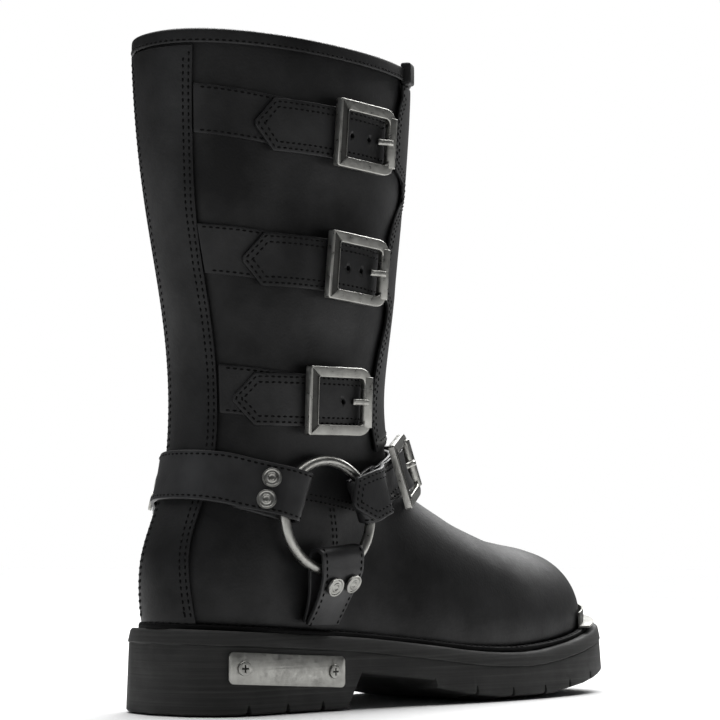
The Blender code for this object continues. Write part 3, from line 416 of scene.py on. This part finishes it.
def one_stitch(length, radius):
    """The shape of one stitch, humped between its two needle holes."""
    bpy.ops.object.select_all(action="DESELECT")
    bpy.ops.mesh.primitive_uv_sphere_add(segments=6, ring_count=6, radius=1.0)
    model = bpy.context.object
    bpy.ops.object.mode_set(mode="EDIT")
    bpy.ops.mesh.select_all(action="SELECT")
    bpy.ops.transform.rotate(value=math.pi / 2, orient_axis="Y", center_override=(0, 0, 0))
    bpy.ops.transform.resize(value=(length / 2, radius, radius))
    bpy.ops.object.mode_set(mode="OBJECT")
    points = np.array([v.co for v in model.data.vertices])
    points[:, 2] -= radius * STITCH_HUMP * (2 * points[:, 0] / length) ** 2
    faces = [tuple(face.vertices) for face in model.data.polygons]
    bpy.data.objects.remove(model)
    return points, faces


thread = sewing_thread()


def sew(name, cloth, lines, slot, keep=None, pitch=STITCH_PITCH, length=STITCH_LENGTH, radius=STITCH_RADIUS):
    """Rows of stitches along lines, lying on the cloth wherever keep says so."""
    surface = BVHTree.FromObject(cloth, bpy.context.evaluated_depsgraph_get())
    model, model_faces = one_stitch(length, radius)
    points, faces = [], []
    for line in lines:
        line = np.array([tuple(p) for p in line])
        steps = np.linalg.norm(np.diff(line, axis=0), axis=1)
        reach = np.concatenate([[0], np.cumsum(steps)])
        count = max(2, int(reach[-1] / pitch))
        places = (np.arange(count) + 0.5) * reach[-1] / count
        row = np.stack([np.interp(places, reach, line[:, k]) for k in range(3)], axis=1)
        before = np.stack([np.interp(places - STITCH_LOOK, reach, line[:, k]) for k in range(3)], axis=1)
        after = np.stack([np.interp(places + STITCH_LOOK, reach, line[:, k]) for k in range(3)], axis=1)
        for place, start, end in zip(row, before, after):
            seat, out, _, _ = surface.find_nearest(Vector(place))
            ahead = Vector(end - start)
            ahead = (ahead - out * ahead.dot(out)).normalized()
            if keep and not keep(seat, out, ahead):
                continue
            turn = np.array([ahead, out.cross(ahead), out])
            faces += [tuple(i + len(points) * len(model) for i in face) for face in model_faces]
            points.append(model @ turn + np.array(seat - out * radius * STITCH_SINK))
    mesh = bpy.data.meshes.new(name)
    mesh.from_pydata(np.concatenate(points).tolist(), [], faces)
    mesh.shade_smooth()
    rows = bpy.data.objects.new(name, mesh)
    bpy.context.scene.collection.objects.link(rows)
    return dress(rows, thread, slot)


welt_leather = black_leather("welt leather", tinted(UPPER_COLOUR, 0.5), 0.65, shine=0.08)
welt = fresh_copy("welt", "welt_strip")
close_joint(welt, WELT_LAP)
soften_edges(welt, WELT_EDGE)
finish_with(welt, "SUBSURF", levels=1, render_levels=1)
shade()
dress(welt, welt_leather, "welt_leather", "welt")
below_boot = spot(150, 0, -400)
outer_edge = max(sewing_lines("welt", [WELT_SEAM], below_boot),
                 key=lambda line: max(p.x for p in line))
sew("welt_stitching", welt, [outer_edge], "welt_leather", **WELT_STITCH)


# Insole
# A thin board covered in dark leather, seen only down the shaft.
# It is laid in from above and closes the bottom of the upper.
INSOLE_COLOUR = (0.018, 0.016, 0.014)
INSOLE_EDGE = 0.6 * MM
insole_finish = Finish("insole cover", Specular_IOR_Level=0.3)
insole_nap = insole_finish.noise(260, 4)
insole_finish.drive("Base Color", insole_finish.colours(
    insole_nap, (0.3, tinted(INSOLE_COLOUR, 0.7)), (0.7, INSOLE_COLOUR)))
insole_finish.drive("Roughness", insole_finish.spread(insole_nap, 0.65, 0.85))
insole_finish.raise_by(insole_nap, 0.15 * MM, 0.6)
insole = fresh_copy("insole", "insole_cover")
soften_edges(insole, INSOLE_EDGE)
shade()
dress(insole, insole_finish.material, "insole_board", "insole")


# Back panel, front panel and collar binding
# Strips of the same leather sewn over the upper: one up the heel and the back of the shaft, one over
# the shin with a scalloped edge, and one folded over the collar. Two rows of thread hold each panel.
PANEL_EDGE = 0.4 * MM
PANEL_ROWS = (1.7 * MM, 4.4 * MM)
PANEL_ENDS = 5.5 * MM
PANEL_LAP = 1.2 * MM
CLIMBING = 0.5
BINDING_EDGE = 1.0 * MM
COLLAR_SEAM = 1.3 * MM
leg_middle = spot(80, 0, 150)
collar_middle = spot(78, 0, 306)


def leather_piece(node, name, finish, slot, edge, levels=2):
    piece = fresh_copy(node, name)
    soften_edges(piece, edge)
    finish_with(piece, "SUBSURF", levels=levels, render_levels=levels)
    shade(50)
    return dress(piece, finish, slot, node)


def along_side(node):
    """Keeps the stitches of a panel's seam that run up its sides, and not along its top or bottom."""
    low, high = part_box(node)
    bottom = low.z + PANEL_ENDS
    top = high.z - PANEL_ENDS
    return lambda seat, out, ahead: abs(ahead.z) > CLIMBING or bottom < seat.z < top


for node in ("back_panel", "front_panel"):
    panel = leather_piece(node, node + "_leather", upper_leather, "upper_leather", PANEL_EDGE)
    if node == "back_panel":
        close_joint(panel, PANEL_LAP)
    sew(node + "_stitching", panel, sewing_lines(node, PANEL_ROWS, leg_middle), "upper_leather",
        along_side(node))

binding = leather_piece("collar_binding", "collar_binding_leather", upper_leather, "upper_leather",
                        BINDING_EDGE)
binding_rows = sewing_lines("collar_binding", [COLLAR_SEAM], collar_middle)
lower_row = min(binding_rows, key=lambda line: sum(p.z for p in line) / len(line))
sew("collar_stitching", binding, [lower_row], "upper_leather")


# Quarter seams and collar tab
# Inside the ring two double rows of thread show where the quarters are joined: one runs forwards over
# the ankle and one down to the welt. At the top of the shin the front panel's lining is turned over the
# collar as a small rounded tab.
SEAM_STEP = 2.8
QUARTER_SEAM = ((54, 34, 102.2), (77, 34.5, 99.5), (104, 32, 95.8))
COUNTER_SEAM = ((80.5, 34, 95), (83.5, 33.4, 84), (85, 32.7, 74), (86, 33, 48))
TAB_PLACE = (134.2, -35.0, 307.6)
TAB_SIZE = (10 * MM, 5.5 * MM, 11 * MM)
TAB_ROUND = 1.5 * MM
TAB_TURN = math.radians(30)

quarter_rows = []
for side in (-1, 1):
    for row in (0, 1):
        quarter_rows.append([spot(x, side * y, z - row * SEAM_STEP) for x, y, z in QUARTER_SEAM])
        quarter_rows.append([spot(x + row * SEAM_STEP, side * y, z) for x, y, z in COUNTER_SEAM])
sew("quarter_stitching", upper, quarter_rows, "upper_leather")

bpy.ops.object.select_all(action="DESELECT")
bpy.ops.mesh.primitive_cube_add(size=1.0)
tab = bpy.context.object
tab.name = "collar_tab"
tab.data.transform(Matrix.Diagonal((*TAB_SIZE, 1.0)))
soften_edges(tab, TAB_ROUND, segments=3)
finish_with(tab, "SUBSURF", levels=2, render_levels=2)
shade(60)
tab.data.transform(Matrix.Translation(spot(*TAB_PLACE)) @ Matrix.Rotation(TAB_TURN, 4, "Z"))
dress(tab, upper_leather, "upper_leather")


# Shaft straps
# Three pairs of straps across the outer side of the shaft: a base strap from the back seam, sewn with
# one row at each edge, and over it a pointed strap from the front, sewn with two rows all round.
STRAP_COLOUR = (0.0066, 0.0066, 0.0069)
STRAP_EDGE = 0.5 * MM
BASE_ROWS = (1.5 * MM,)
TAIL_ROWS = (1.7 * MM, 4.3 * MM)
strap_leather = black_leather("strap leather", STRAP_COLOUR, 0.48, grain=2.0)


def along_strap(seat, out, ahead):
    """Keeps the stitches of a seam that runs along a strap, and not across its ends."""
    return abs(ahead.z) < CLIMBING


for level in ("top", "middle", "low"):
    base_node = level + "_base_strap"
    tail_node = level + "_tail_strap"
    base = leather_piece(base_node, level + "_base_leather", strap_leather, "strap_leather", STRAP_EDGE)
    tail = leather_piece(tail_node, level + "_tail_leather", strap_leather, "strap_leather", STRAP_EDGE)
    height = (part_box(level + "_base_strap")[0].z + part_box(level + "_base_strap")[1].z) / 2
    inside = Vector((leg_middle.x, leg_middle.y, height))
    sew(level + "_base_stitching", base, sewing_lines(base_node, BASE_ROWS, inside), "strap_leather",
        along_strap)
    sew(level + "_tail_stitching", tail, sewing_lines(tail_node, TAIL_ROWS, inside), "strap_leather")


# Buckles
# Cast frames in antique nickel. A raised rib edges the wide rear bar beside a sunk, dull field that is
# left bare. A roller turns on the front bar, and a short prong comes up through one of the strap's
# punched holes and rests on it.
NICKEL_COLOUR = (0.36, 0.357, 0.335)
BUCKLE_EDGE = 0.3 * MM
CROWN_DEPTH = 0.2 * MM
BRIM_DEPTHS = (0.6 * MM, 1.0 * MM)
BRIM_SHARE = 0.6
FLAT_TOP = 0.95
FIELD_REACH = 5.0 * MM
FIELD_MARGIN = 0.3 * MM
FIELD_SLOPE = 0.2 * MM
FIELD_DEPTH = 0.5 * MM
REAR_RIB = 0.9 * MM
ROLLER_RADIUS = 2.85 * MM
ROLLER_LENGTH = 24.0 * MM
ROLLER_FORWARD = 0.2 * MM
ROLLER_EDGE = 0.4 * MM
FRONT_BAR = 4.6 * MM
CORNER_ZONE = 8.0 * MM
CORNER_ROUND = 2.2 * MM
UPRIGHT = 0.4
PRONG_SPAN = (10.8 * MM, 17.4 * MM)
PRONG_CLIMB = 1.8 * MM
PRONG_EDGE = 0.3 * MM
HOLE_RADIUS = 1.25 * MM
HOLE_DROP = 2.8 * MM
HOLES = {"top": (-7.1 * MM, 5.0 * MM), "middle": (-4.4 * MM, 5.0 * MM), "low": (5.0 * MM,), "instep": ()}


def antique_nickel(name, roughness=0.34, brushed=None, tone=1.0):
    finish = Finish(name, Metallic=1.0)
    patina = finish.noise(130, 5, 0.65)
    bright = tinted(NICKEL_COLOUR, tone)
    finish.drive("Base Color", finish.colours(
        patina, (0.25, tinted(bright, 0.7)), (0.5, bright), (0.75, tinted(bright, 1.15))))
    wear = finish.noise(420, 4, 0.6)
    finish.drive("Roughness", finish.spread(wear, roughness - 0.07, roughness + 0.12))
    finish.raise_by(wear, 0.07 * MM, 0.5)
    if brushed:
        finish.raise_by(finish.noise(700, 3, 0.6, finish.stretched(brushed)), 0.06 * MM, 0.8)
    return finish.material


nickel = antique_nickel("antique nickel")
dull_nickel = antique_nickel("dulled nickel", 0.5, tone=0.18)


class BuckleAxes:
    """Middle of a buckle, the directions to its front bar, across it and outwards, and half its length."""

    def __init__(self, level):
        points = np.array([v.co for v in nodes[level + "_buckle"].data.vertices])
        prong = np.mean([v.co for v in nodes[level + "_prong"].data.vertices], axis=0)
        _, _, axes = np.linalg.svd(points - points.mean(axis=0))
        ahead, _, out = axes
        ahead = ahead if ahead @ (prong - points.mean(axis=0)) > 0 else -ahead
        out = out if out @ (points.mean(axis=0) - np.array(leg_middle)) > 0 else -out
        across = np.cross(out, ahead)
        spans = [(points @ axis).min() + (points @ axis).max() for axis in (ahead, across, out)]
        self.centre = Vector(sum(span / 2 * axis for span, axis in zip(spans, (ahead, across, out))))
        self.ahead, self.across, self.out = Vector(ahead), Vector(across), Vector(out)
        self.half = float((points @ ahead).max() - (points @ ahead).min()) / 2

    def at(self, ahead, across=0.0, out=0.0):
        return self.centre + self.ahead * ahead + self.across * across + self.out * out


def sharpen_brim(frame_piece, axes):
    """Narrows the bevels along the top edges of a buckle's frame."""
    corners = frame_piece.data.vertices
    heights = [(corner.co - axes.centre).dot(axes.out) for corner in corners]
    top = max(heights)
    crown = [i for i, height in enumerate(heights) if height > top - CROWN_DEPTH]
    brim = [i for i, height in enumerate(heights) if BRIM_DEPTHS[0] < top - height < BRIM_DEPTHS[1]]
    steps = {}
    for i in crown:
        step = min((corners[j].co - corners[i].co for j in brim), key=lambda reach: reach.length)
        steps[i] = (step - axes.out * step.dot(axes.out)) * BRIM_SHARE
    for i in brim:
        steps[i] = axes.out * (top - heights[i]) * BRIM_SHARE
    for i, step in steps.items():
        corners[i].co += step


def sink_rear_bar(frame_piece, axes):
    """Presses a shallow field into the top of a buckle's rear bar, and leaves a rib along its outer edge."""
    mesh = frame_piece.data
    unmark(mesh)
    for face in mesh.polygons:
        away = face.center - axes.centre
        near_rear = away.dot(axes.ahead) < FIELD_REACH - axes.half
        face.select = face.normal.dot(axes.out) > FLAT_TOP and near_rear and away.dot(axes.out) > 0
    bpy.ops.object.mode_set(mode="EDIT")
    bpy.ops.mesh.select_mode(type="FACE")
    bpy.ops.mesh.inset(thickness=FIELD_MARGIN, depth=0.0, use_even_offset=True)
    bpy.ops.mesh.inset(thickness=FIELD_SLOPE, depth=-FIELD_DEPTH, use_even_offset=True)
    bpy.ops.object.mode_set(mode="OBJECT")
    sunk = {i for face in mesh.polygons if face.select for i in face.vertices}
    middle = sum(((mesh.vertices[i].co - axes.centre).dot(axes.ahead) for i in sunk)) / len(sunk)
    rim = {i for face in mesh.polygons if sunk & set(face.vertices) for i in face.vertices}
    for i in rim:
        if (mesh.vertices[i].co - axes.centre).dot(axes.ahead) < middle:
            mesh.vertices[i].co += axes.ahead * REAR_RIB
    mesh.materials.append(nickel)
    mesh.materials.append(dull_nickel)
    for face in mesh.polygons:
        face.material_index = 1 if set(face.vertices) <= rim else 0


def round_edges(piece, chosen, radius, segments):
    """Rounds those edges of the active piece whose two ends pass a test."""
    mesh = piece.data
    bpy.ops.object.mode_set(mode="EDIT")
    bpy.ops.mesh.select_mode(type="EDGE")
    bpy.ops.mesh.select_all(action="DESELECT")
    bpy.ops.object.mode_set(mode="OBJECT")
    for edge in mesh.edges:
        start, end = (mesh.vertices[i].co for i in edge.vertices)
        edge.select = chosen(start, end)
    bpy.ops.object.mode_set(mode="EDIT")
    bpy.ops.mesh.bevel(offset=radius, segments=segments, affect="EDGES", clamp_overlap=True)
    bpy.ops.object.mode_set(mode="OBJECT")


def at_front_corner(axes):
    """Picks the upright edges of a buckle's outline at its front corners."""
    def chosen(start, end):
        start = start - axes.centre
        end = end - axes.centre
        upright = abs((end - start).normalized().dot(axes.out)) > UPRIGHT
        outer = start.dot(axes.ahead) + abs(start.dot(axes.across)) > axes.half + CORNER_ZONE
        return upright and outer and start.dot(axes.ahead) > 0
    return chosen


def standing(place, direction):
    """Takes a shape from the origin to a place, and turns its +Z to a direction."""
    return Matrix.Translation(place) @ direction.to_track_quat("Z", "Y").to_matrix().to_4x4()


def add_roller(name, axes):
    """The roller on a buckle's front bar."""
    bpy.ops.object.select_all(action="DESELECT")
    bpy.ops.mesh.primitive_cylinder_add(vertices=32, radius=ROLLER_RADIUS, depth=ROLLER_LENGTH)
    roller = bpy.context.object
    roller.name = name
    soften_edges(roller, ROLLER_EDGE, segments=3)
    shade()
    middle = axes.at(axes.half - FRONT_BAR / 2 + ROLLER_FORWARD)
    roller.data.transform(standing(middle, axes.across))
    dress(roller, nickel, "antique_nickel")


def punch_hole(strap, place, out):
    """Cuts one round hole through a strap."""
    bpy.ops.object.select_all(action="DESELECT")
    bpy.ops.mesh.primitive_cylinder_add(vertices=20, radius=HOLE_RADIUS, depth=2 * HOLE_DROP)
    punch = bpy.context.object
    punch.data.transform(standing(place, out))
    bpy.context.view_layer.objects.active = strap
    finish_with(strap, "BOOLEAN", object=punch, operation="DIFFERENCE", solver="EXACT")
    bpy.data.objects.remove(punch)


for level in ("top", "middle", "low", "instep"):
    axes = BuckleAxes(level)
    buckle = fresh_copy(level + "_buckle", level + "_buckle_frame")
    sharpen_brim(buckle, axes)
    sink_rear_bar(buckle, axes)
    round_edges(buckle, at_front_corner(axes), CORNER_ROUND, 4)
    soften_edges(buckle, BUCKLE_EDGE, angle=28, segments=3)
    shade(35)
    dress(buckle, nickel, "antique_nickel", level + "_buckle")
    add_roller(level + "_buckle_roller", axes)
    prong = fresh_copy(level + "_prong", level + "_prong_pin")
    places = [(v.co - axes.centre).dot(axes.ahead) for v in prong.data.vertices]
    for corner, place in zip(prong.data.vertices, places):
        share = (place - min(places)) / (max(places) - min(places))
        corner.co += axes.ahead * (PRONG_SPAN[0] + share * (PRONG_SPAN[1] - PRONG_SPAN[0]) - place)
        corner.co += axes.out * PRONG_CLIMB * share
    soften_edges(prong, PRONG_EDGE, angle=30)
    finish_with(prong, "SUBSURF", levels=2, render_levels=2)
    shade(60)
    dress(prong, nickel, "antique_nickel", level + "_prong")
    for place in HOLES[level]:
        punch_hole(bpy.data.objects[level + "_tail_leather"], axes.at(place, 0.0, -HOLE_DROP), axes.out)


# Harness
# A nickel ring on each side of the ankle, held by a strap round the heel, a strap down to the sole and
# a buckled pair over the instep. Each strap is folded round the ring, and the heel and sole straps are
# closed with rivets. The pointed instep strap bulges up into its buckle.
RING_SWELL = 0.34 * MM
LOOKS_OUT = 0.3
SWELL = 3.0 * MM
SWELL_HALF = 14.0 * MM
SWELL_REACH = 21.0 * MM
HARNESS_ROWS = (1.8 * MM,)
# The harness leather is the strap leather painted lighter: a painted highlight that stands in for the broad
# sheen on the harness straps. Its higher specular level is the straps' own shinier finish.
harness_leather_painted_sheen = black_leather("harness leather with painted sheen", tinted(STRAP_COLOUR, 1.8), 0.46, grain=2.0, shine=0.5)
ankle = spot(72, 0, 88)
instep = spot(100, 0, 70)

for side in ("lateral", "medial"):
    ring = fresh_copy(side + "_ring", side + "_ring_wire")
    bpy.ops.object.mode_set(mode="EDIT")
    bpy.ops.mesh.select_all(action="SELECT")
    bpy.ops.transform.shrink_fatten(value=RING_SWELL)
    bpy.ops.object.mode_set(mode="OBJECT")
    finish_with(ring, "SUBSURF", levels=2, render_levels=2)
    shade(60)
    dress(ring, nickel, "antique_nickel", side + "_ring")


def shows_outside(inside, climb):
    """Keeps the stitches on the face of a strap that looks away from the boot, if they climb enough."""
    def keep(seat, out, ahead):
        return out.dot((seat - inside).normalized()) > LOOKS_OUT and abs(ahead.z) >= climb
    return keep


def swell_through(strap, axes):
    """Lets a strap bulge up into the window of the buckle that holds it."""
    for corner in strap.data.vertices:
        away = corner.co - axes.centre
        along = abs(away.dot(axes.ahead))
        if along < SWELL_HALF and away.length < SWELL_REACH:
            corner.co += axes.out * SWELL * math.cos(math.pi / 2 * along / SWELL_HALF) ** 2


HARNESS = (
    # node, rows of thread, point inside the boot, how steeply its seams climb
    ("heel_strap", HARNESS_ROWS, ankle, 0.0),
    ("lateral_sole_strap", HARNESS_ROWS, ankle, 0.4),
    ("medial_sole_strap", HARNESS_ROWS, ankle, 0.4),
    ("instep_base_strap", HARNESS_ROWS, instep, 0.0),
    ("instep_tail_strap", TAIL_ROWS, instep, 0.0),
)
for node, rows, inside, climb in HARNESS:
    strap = leather_piece(node, node + "_leather", harness_leather_painted_sheen, "strap_leather", STRAP_EDGE)
    if node == "instep_tail_strap":
        swell_through(strap, BuckleAxes("instep"))
    sew(node + "_stitching", strap, sewing_lines(node, rows, inside), "strap_leather",
        shows_outside(inside, climb))


# Rivets
# Domed two-part rivets in antique nickel: a rolled rim, a sunk ring and a dimple in the middle.
# Two are set side by side through each fold of the heel and sole straps.
RIVET_RADIUS = 4.5 * MM
RIVET_HEIGHT = 1.5 * MM
RIVET_EDGE = 0.18 * MM
RIVET_STEPS = (
    # width and rise of each step from the rim to the middle, in millimetres
    (0.75, 0.0), (0.35, -0.45), (1.0, 0.05), (0.3, 0.4), (0.6, 0.0), (0.35, -0.5),
)


def rivet_head():
    """One rivet at the origin, its face towards +Z."""
    bpy.ops.object.select_all(action="DESELECT")
    bpy.ops.mesh.primitive_cylinder_add(vertices=40, radius=RIVET_RADIUS, depth=RIVET_HEIGHT,
                                        location=(0, 0, RIVET_HEIGHT / 2))
    head = bpy.context.object
    bpy.ops.object.transform_apply(location=True)
    unmark(head.data)
    for face in head.data.polygons:
        face.select = face.normal.z > FLAT_TOP
    bpy.ops.object.mode_set(mode="EDIT")
    bpy.ops.mesh.select_mode(type="FACE")
    for width, rise in RIVET_STEPS:
        bpy.ops.mesh.inset(thickness=width * MM, depth=rise * MM)
    bpy.ops.object.mode_set(mode="OBJECT")
    soften_edges(head, RIVET_EDGE, angle=25)
    shade()
    return head


def seat_of(node):
    """Middle of a flat head's underside, and the direction that its face looks in."""
    points = np.array([v.co for v in nodes[node].data.vertices])
    centre = points.mean(axis=0)
    _, _, axes = np.linalg.svd(points - centre)
    out = axes[2] if axes[2] @ (centre - np.array(spot(76, 0, centre[2] / MM))) > 0 else -axes[2]
    base = ((points - centre) @ out).min()
    return Vector(centre + out * base), Vector(out)


def fix_copies(model, named, finish):
    """Sets a copy of a model, with its own mesh, on each named solid's seat."""
    for node, name in named:
        seat, out = seat_of(node)
        copy = bpy.data.objects.new(name, model.data.copy())
        bpy.context.scene.collection.objects.link(copy)
        copy.data.transform(standing(seat, out))
        dress(copy, finish, "antique_nickel", node)
    bpy.data.objects.remove(model)


rivets = [f"{side}_{strap}_rivet_{number}" for side in ("lateral", "medial")
          for strap in ("sole", "heel") for number in (1, 2)]
fix_copies(rivet_head(), [(node, node + "_head") for node in rivets], nickel)


# Heel plate and toe plate
# A bare brushed plate let into the outer side of the heel and held by two cross-head screws, and a
# bent strip round the toe. Both are nickel-plated steel, dulled by handling.
SCREW_RADIUS = 3.3 * MM
SCREW_HEIGHT = 0.8 * MM
SCREW_EDGE = 0.3 * MM
CROSS_LENGTH = 3.6 * MM
CROSS_WIDTH = 0.8 * MM
CROSS_DEPTH = 0.9 * MM
RECESS_REACH = 2.0 * MM
RECESS_MARGIN = 0.1 * MM
PLATE_ROUND = 2.5 * MM
CORNER_LENGTH = 2 * MM
CORNER_SLOPE = 0.5 * MM
PLATE_EDGE = 0.35 * MM
TOE_PLATE_EDGE = 0.25 * MM
plate_nickel = antique_nickel("brushed nickel", 0.36, brushed=(0.05, 0.05, 1.6))
recess_nickel = antique_nickel("screw recess", 0.6, tone=0.1)


def at_plate_corner(plate):
    """Picks the short edges through a plate's thickness at its corners."""
    ends = min(v.co.x for v in plate.data.vertices), max(v.co.x for v in plate.data.vertices)

    def chosen(start, end):
        at_end = min(abs(start.x - ends[0]), abs(start.x - ends[1])) < PLATE_ROUND
        return at_end and (end - start).length < CORNER_LENGTH and abs(end.z - start.z) < CORNER_SLOPE
    return chosen


heel_plate = fresh_copy("heel_plate", "heel_plate_nickel")
round_edges(heel_plate, at_plate_corner(heel_plate), PLATE_ROUND, 6)
soften_edges(heel_plate, PLATE_EDGE)
shade(30)
dress(heel_plate, plate_nickel, "antique_nickel", "heel_plate")

toe_plate = fresh_copy("toe_plate", "toe_plate_nickel")
soften_edges(toe_plate, TOE_PLATE_EDGE)
shade(30)
dress(toe_plate, antique_nickel("toe nickel", 0.45, tone=0.55), "antique_nickel", "toe_plate")


def cross_head():
    """A flat screw head at the origin with a cross sunk in its face."""
    bpy.ops.object.select_all(action="DESELECT")
    bpy.ops.mesh.primitive_cube_add(size=1.0)
    cross = bpy.context.object
    cross.scale = (CROSS_LENGTH, CROSS_WIDTH, CROSS_DEPTH)
    bpy.ops.mesh.primitive_cube_add(size=1.0)
    arm = bpy.context.object
    arm.scale = (CROSS_WIDTH, CROSS_LENGTH, CROSS_DEPTH)
    bpy.ops.mesh.primitive_cylinder_add(vertices=32, radius=SCREW_RADIUS, depth=SCREW_HEIGHT,
                                        location=(0, 0, SCREW_HEIGHT / 2))
    head = bpy.context.object
    head.data.materials.append(nickel)
    head.data.materials.append(recess_nickel)
    bpy.ops.object.transform_apply(location=True)
    soften_edges(head, SCREW_EDGE, segments=3)
    for cutter in (cross, arm):
        cutter.location.z = SCREW_HEIGHT
        finish_with(head, "BOOLEAN", object=cutter, operation="DIFFERENCE", solver="EXACT")
        bpy.data.objects.remove(cutter)
    for face in head.data.polygons:
        sunk = RECESS_MARGIN < face.center.z < SCREW_HEIGHT - RECESS_MARGIN
        face.material_index = int(sunk and face.center.xy.length < RECESS_REACH)
    shade(35)
    return head


screws = ("heel_plate_screw_1", "heel_plate_screw_2")
fix_copies(cross_head(), [(node, node + "_head") for node in screws], nickel)


# Floor, light and camera
# A white studio floor under a wide overhead light, a cool soft box behind the heel, a large one beyond
# the toe on the inner side, a dim room for the leather to mirror, and a low camera that looks at the
# boot's outer side from behind.
FLOOR_SIZE = 12.0
FLOOR_COLOUR = (0.86, 0.86, 0.86)
ROOM_COLOUR = (0.95, 0.97, 1.0)
ROOM_STRENGTH = 0.06
OVERHEAD_STRENGTH = 3.75
OVERHEAD_ANGLE = math.radians(75)
OVERHEAD_TILT = (math.radians(-14), math.radians(10), 0)
SOFT_BOXES = (
    # name, place, width and height, power, colour
    ("back_box", Vector((-1.5, 0.35, 0.6)), (0.6, 1.4), 1.3, (0.88, 0.93, 1.0)),
    ("far_box", Vector((1.25, 0.5, 1.25)), (1.5, 0.9), 32, (1.0, 1.0, 1.0)),
)
# the camera's distance, height and target are in millimetres, as for spot
VIEW_YAW = math.radians(46.3)
VIEW_DISTANCE = 1212.8
VIEW_HEIGHT = 76.2
VIEW_LENS = 122.7
VIEW_SHIFT = 0.0139
VIEW_TARGET = (130.0, 0.0, 168.6)

bpy.ops.object.select_all(action="DESELECT")
bpy.ops.mesh.primitive_plane_add(size=FLOOR_SIZE)
floor = bpy.context.object
floor.name = "floor"
floor_finish = Finish("studio floor", Roughness=0.7, Specular_IOR_Level=0.1)
floor_finish.drive("Base Color", floor_finish.colours(
    floor_finish.noise(3), (0.3, FLOOR_COLOUR), (0.7, tinted(FLOOR_COLOUR, 1.02))))
floor.data.materials.append(floor_finish.material)

world = bpy.data.worlds.new("studio")
world.use_nodes = True
sky, wires = world.node_tree.nodes, world.node_tree.links
room = sky["Background"]
room.inputs["Color"].default_value = (*ROOM_COLOUR, 1.0)
room.inputs["Strength"].default_value = ROOM_STRENGTH
backdrop = sky.new("ShaderNodeBackground")
backdrop.inputs["Color"].default_value = (1.0, 1.0, 1.0, 1.0)
straight = sky.new("ShaderNodeLightPath").outputs["Is Camera Ray"]
choice = sky.new("ShaderNodeMixShader")
wires.new(straight, choice.inputs[0])
wires.new(room.outputs["Background"], choice.inputs[1])
wires.new(backdrop.outputs["Background"], choice.inputs[2])
wires.new(choice.outputs["Shader"], sky["World Output"].inputs["Surface"])
bpy.context.scene.world = world
bpy.context.scene.view_settings.view_transform = "Standard"

overhead = bpy.data.objects.new("overhead", bpy.data.lights.new("overhead", "SUN"))
bpy.context.scene.collection.objects.link(overhead)
overhead.data.energy = OVERHEAD_STRENGTH
overhead.data.angle = OVERHEAD_ANGLE
overhead.rotation_euler = OVERHEAD_TILT

target = spot(*VIEW_TARGET)
for name, place, size, power, colour in SOFT_BOXES:
    lamp = bpy.data.lights.new(name, "AREA")
    lamp.shape = "RECTANGLE"
    lamp.size, lamp.size_y = size
    lamp.energy = power
    lamp.color = colour
    box = bpy.data.objects.new(name, lamp)
    bpy.context.scene.collection.objects.link(box)
    box.location = place
    box.rotation_euler = (target - place).to_track_quat("-Z", "Y").to_euler()

camera = bpy.data.objects.new("camera", bpy.data.cameras.new("camera"))
bpy.context.scene.collection.objects.link(camera)
camera.data.sensor_width = 36.0
camera.data.lens = VIEW_LENS
camera.data.shift_x = VIEW_SHIFT
camera.data.clip_start, camera.data.clip_end = 0.05, 50.0
eye = spot(VIEW_TARGET[0] - math.sin(VIEW_YAW) * VIEW_DISTANCE,
           VIEW_TARGET[1] - math.cos(VIEW_YAW) * VIEW_DISTANCE, VIEW_HEIGHT)
camera.location = eye
camera.rotation_euler = (target - eye).to_track_quat("-Z", "Y").to_euler()
bpy.context.scene.camera = camera
